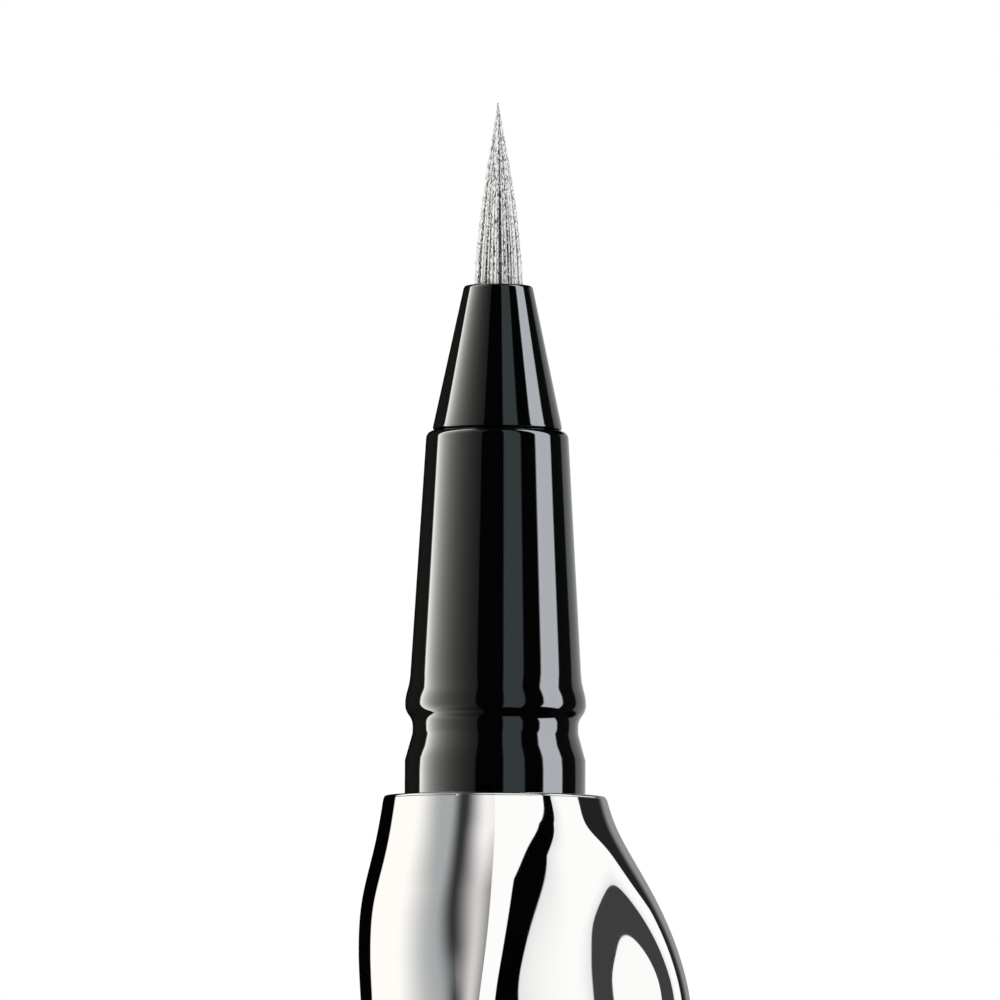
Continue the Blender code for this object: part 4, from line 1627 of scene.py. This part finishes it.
    def build(self, lit: Sequence[bpy.types.Object]) -> bpy.types.Object:
        """Build the dome and link it to the pieces that mirror it.

        Args:
            lit: The pieces.

        Returns:
            The dome.
        """
        mesh = bpy.data.meshes.new(self.name)
        around, rows = self.segments, self.segments // 2
        cage = bmesh.new()
        bmesh.ops.create_uvsphere(cage, u_segments=around, v_segments=rows, radius=self.radius)
        bmesh.ops.translate(cage, verts=cage.verts, vec=(0.0, 0.0, self.centre_height))
        cage.to_mesh(mesh)
        cage.free()
        mesh.materials.append(self.material())
        dome = placed(self.name, mesh)
        for ray in self.hidden_rays:
            setattr(dome, "visible_" + ray, False)
        receivers = bpy.data.collections.new(self.name + "_mirrors")
        for piece in lit:
            receivers.objects.link(piece)
        dome.light_linking.receiver_collection = receivers
        return dome


@dataclass(frozen=True)
class Studio:
    """A pale floor in soft white light, with reflection domes and the camera."""

    levels: Levels
    floor_radius: float = 3.0
    floor_segments: int = 96
    plastic_dome_radius: float = 6.0
    chrome_dome_radius: float = 6.6
    chrome_gain: float = 1.075
    camera_distance: float = 0.62
    camera_elevation: float = -3.65
    camera_roll: float = 0.38
    lens: float = 486.0
    sensor: float = 36.0
    aim_above_rim: float = 0.01354
    aim_across: float = 0.00014

    def plastic_panels(self) -> tuple[Panel, ...]:
        """The panels that black plastic and the small parts mirror.

        Returns:
            The panels, each over the ones before it.
        """
        high = (64.0, 74.0)
        key = ((-114.0, -111.0), (-27.0, -24.0), (-95.0, -91.0))
        strip = ((63.0, 66.0), (94.0, 97.0), (-28.0, -24.0))
        wall = ((123.0, 128.0), (190.0, 191.0), (-22.0, -16.0))
        return (
            Panel("side_shade", "#54504c", (-175.0, -118.0), (-114.0, -112.0), radiance=0.92),
            Panel("key_softbox", "#fbfcf7", *key, high, 12.4, halving=15.9),
            Panel("key_low", "#fbfcf7", *key, (-48.0, -28.0), 5.6, halving=15.9),
            Panel("fill_card", "#e5faff", (9.0, 12.0), (36.5, 39.5), (-42.0, -38.0), high, 0.89),
            Panel("rim_strip", "#f3f8ff", *strip, high, 9.7, halving=93.0),
            Panel("rim_shade", "#2c2e30", (96.0, 97.0), (126.0, 130.0)),
            Panel("back_wall", "#d6dbda", *wall, (16.0, 22.0)),
        )

    def chrome_panels(self) -> tuple[Panel, ...]:
        """The panels that the chrome mirrors.

        Returns:
            The panels, each over the ones before it.
        """
        arched = Outline.ARCHED
        key, wall, behind = (-129.0, -127.0), (46.0, 47.0), (190.0, 191.0)
        pink = ((-36.0, -34.0), (0.5, 1.5))
        gap = ((-49.0, -35.0), (-36.0, -12.0), (-14.0, 0.0))
        rear = ((94.0, 95.0), (130.5, 131.5))
        halo = ((63.1, 76.1), (103.4, 116.4), (-7.0, -6.0), (10.7, 11.7))
        flag = ((63.1, 63.7), (115.8, 116.4), (-7.0, -6.0), (10.7, 11.7))
        window = ((60.4, 60.8), (100.0, 100.4), (-13.9, -12.9), (-3.3, -2.3))
        return (
            Panel("key_softbox", "#a4a8a9", key, (-36.0, -34.0)),
            Panel("key_core", "#fffcf8", key, (-88.0, -46.0), right_lean=-18.0),
            Panel("pink_card", "#d9d4d5", *pink),
            Panel("pink_card_top", "#f4f0f1", *pink, bottom=(19.0, 28.0)),
            Panel("card_shadow", "#585858", (-20.0, 10.0), (4.0, 6.0), left_lean=16.0),
            Panel("key_gap", "#343434", *gap, right_lean=4.0),
            Panel("fill_card", "#fcfcfc", (-0.7, 0.3), (24.5, 25.5), right_lean=29.0),
            Panel("side_wall", "#fcfcfc", wall, (98.0, 99.0), left_lean=18.0),
            Panel("wall_shade", "#e1e1e1", wall, (43.0, 58.0), left_lean=18.0, right_lean=18.0),
            Panel("side_gap", "#222222", (98.0, 103.0), behind, (-3.0, 5.0)),
            Panel("rear_wall", "#fcfcfc", *rear, top=(21.6, 22.0), slope=-0.40),
            Panel("back_wall", "#8e8e8e", (137.0, 153.0), behind),
            Panel("flag_halo", "#c9c9c9", *halo, slope=0.33, outline=arched),
            Panel("side_flag", "#3d3d3d", *flag, slope=0.33, outline=arched),
            Panel("side_window", "#fafafa", *window, slope=0.61, outline=arched),
            Panel("ceiling_gap", "#303030", (-190.0, -185.0), behind, (36.0, 60.0)),
        )

    def floor(self) -> bpy.types.Object:
        """Build the floor.

        Returns:
            The floor.
        """
        mesh = bpy.data.meshes.new("studio_floor")
        cage = bmesh.new()
        bmesh.ops.create_circle(
            cage, cap_ends=True, radius=self.floor_radius, segments=self.floor_segments
        )
        cage.to_mesh(mesh)
        cage.free()
        mesh.materials.append(FLOOR_BOARD.material())
        floor = placed("studio_floor", mesh)
        floor.visible_glossy = False
        return floor

    def world(self) -> None:
        """Surround the scene with even white light."""
        world = bpy.data.worlds.new("studio_light")
        world.use_nodes = True
        world.node_tree.nodes["Background"].inputs["Color"].default_value = (1.0, 1.0, 1.0, 1.0)
        bpy.context.scene.world = world
        bpy.context.scene.view_settings.view_transform = "Standard"

    def camera(self) -> bpy.types.Object:
        """Place the camera at the photograph's viewing angle.

        Returns:
            The camera.
        """
        lens = bpy.data.cameras.new("studio_camera")
        lens.lens = self.lens
        lens.sensor_width = self.sensor
        camera = placed("studio_camera", lens)
        rise = math.radians(self.camera_elevation)
        back = Vector((0.0, -math.cos(rise), math.sin(rise)))
        aim = Vector((self.aim_across, 0.0, self.levels.rim + self.aim_above_rim))
        turn = (-back).to_track_quat("-Z", "Y").to_matrix().to_4x4()
        roll = Matrix.Rotation(math.radians(self.camera_roll), 4, "Z")
        place = Matrix.Translation(aim + back * self.camera_distance)
        camera.matrix_world = place @ turn @ roll
        bpy.context.scene.camera = camera
        return camera

    def build(self, pieces: Sequence[bpy.types.Object]) -> None:
        """Build the studio around the pieces.

        Args:
            pieces: Every piece of the pen.
        """
        plating = (BODY_PLATING.name, CAP_PLATING.name)
        chrome = [piece for piece in pieces if piece.data.materials[0].name in plating]
        others = [piece for piece in pieces if piece not in chrome]
        rim = self.levels.rim
        panels, radius = self.plastic_panels(), self.plastic_dome_radius
        plastic_dome = ReflectionDome("plastic_dome", panels, radius, rim, lets_through=True)
        plastic_dome.build(others)
        panels, radius = self.chrome_panels(), self.chrome_dome_radius
        chrome_dome = ReflectionDome("chrome_dome", panels, radius, rim, False, self.chrome_gain)
        chrome_dome.build(chrome)
        self.floor()
        self.world()
        self.camera()


def main() -> None:
    """Build the pen and its studio, and report each piece."""
    logging.basicConfig(level=logging.INFO, format="%(name)s: %(message)s")
    levels = Levels.from_frame()
    neck = SnapNeck()
    pieces: list[bpy.types.Object] = []
    assemblies = (
        ChromeBody(levels),
        FrontSection(levels, neck),
        Brush(levels),
        InkFeed(levels),
        InkTank(),
        TailPlug(levels, neck),
        Cap(levels, neck),
    )
    for assembly in assemblies:
        made = assembly.build()
        for piece in made:
            LOG.info("%s: %d faces", piece.name, len(piece.data.polygons))
        pieces += made
    Studio(levels).build(pieces)


if __name__ == "__main__":
    main()
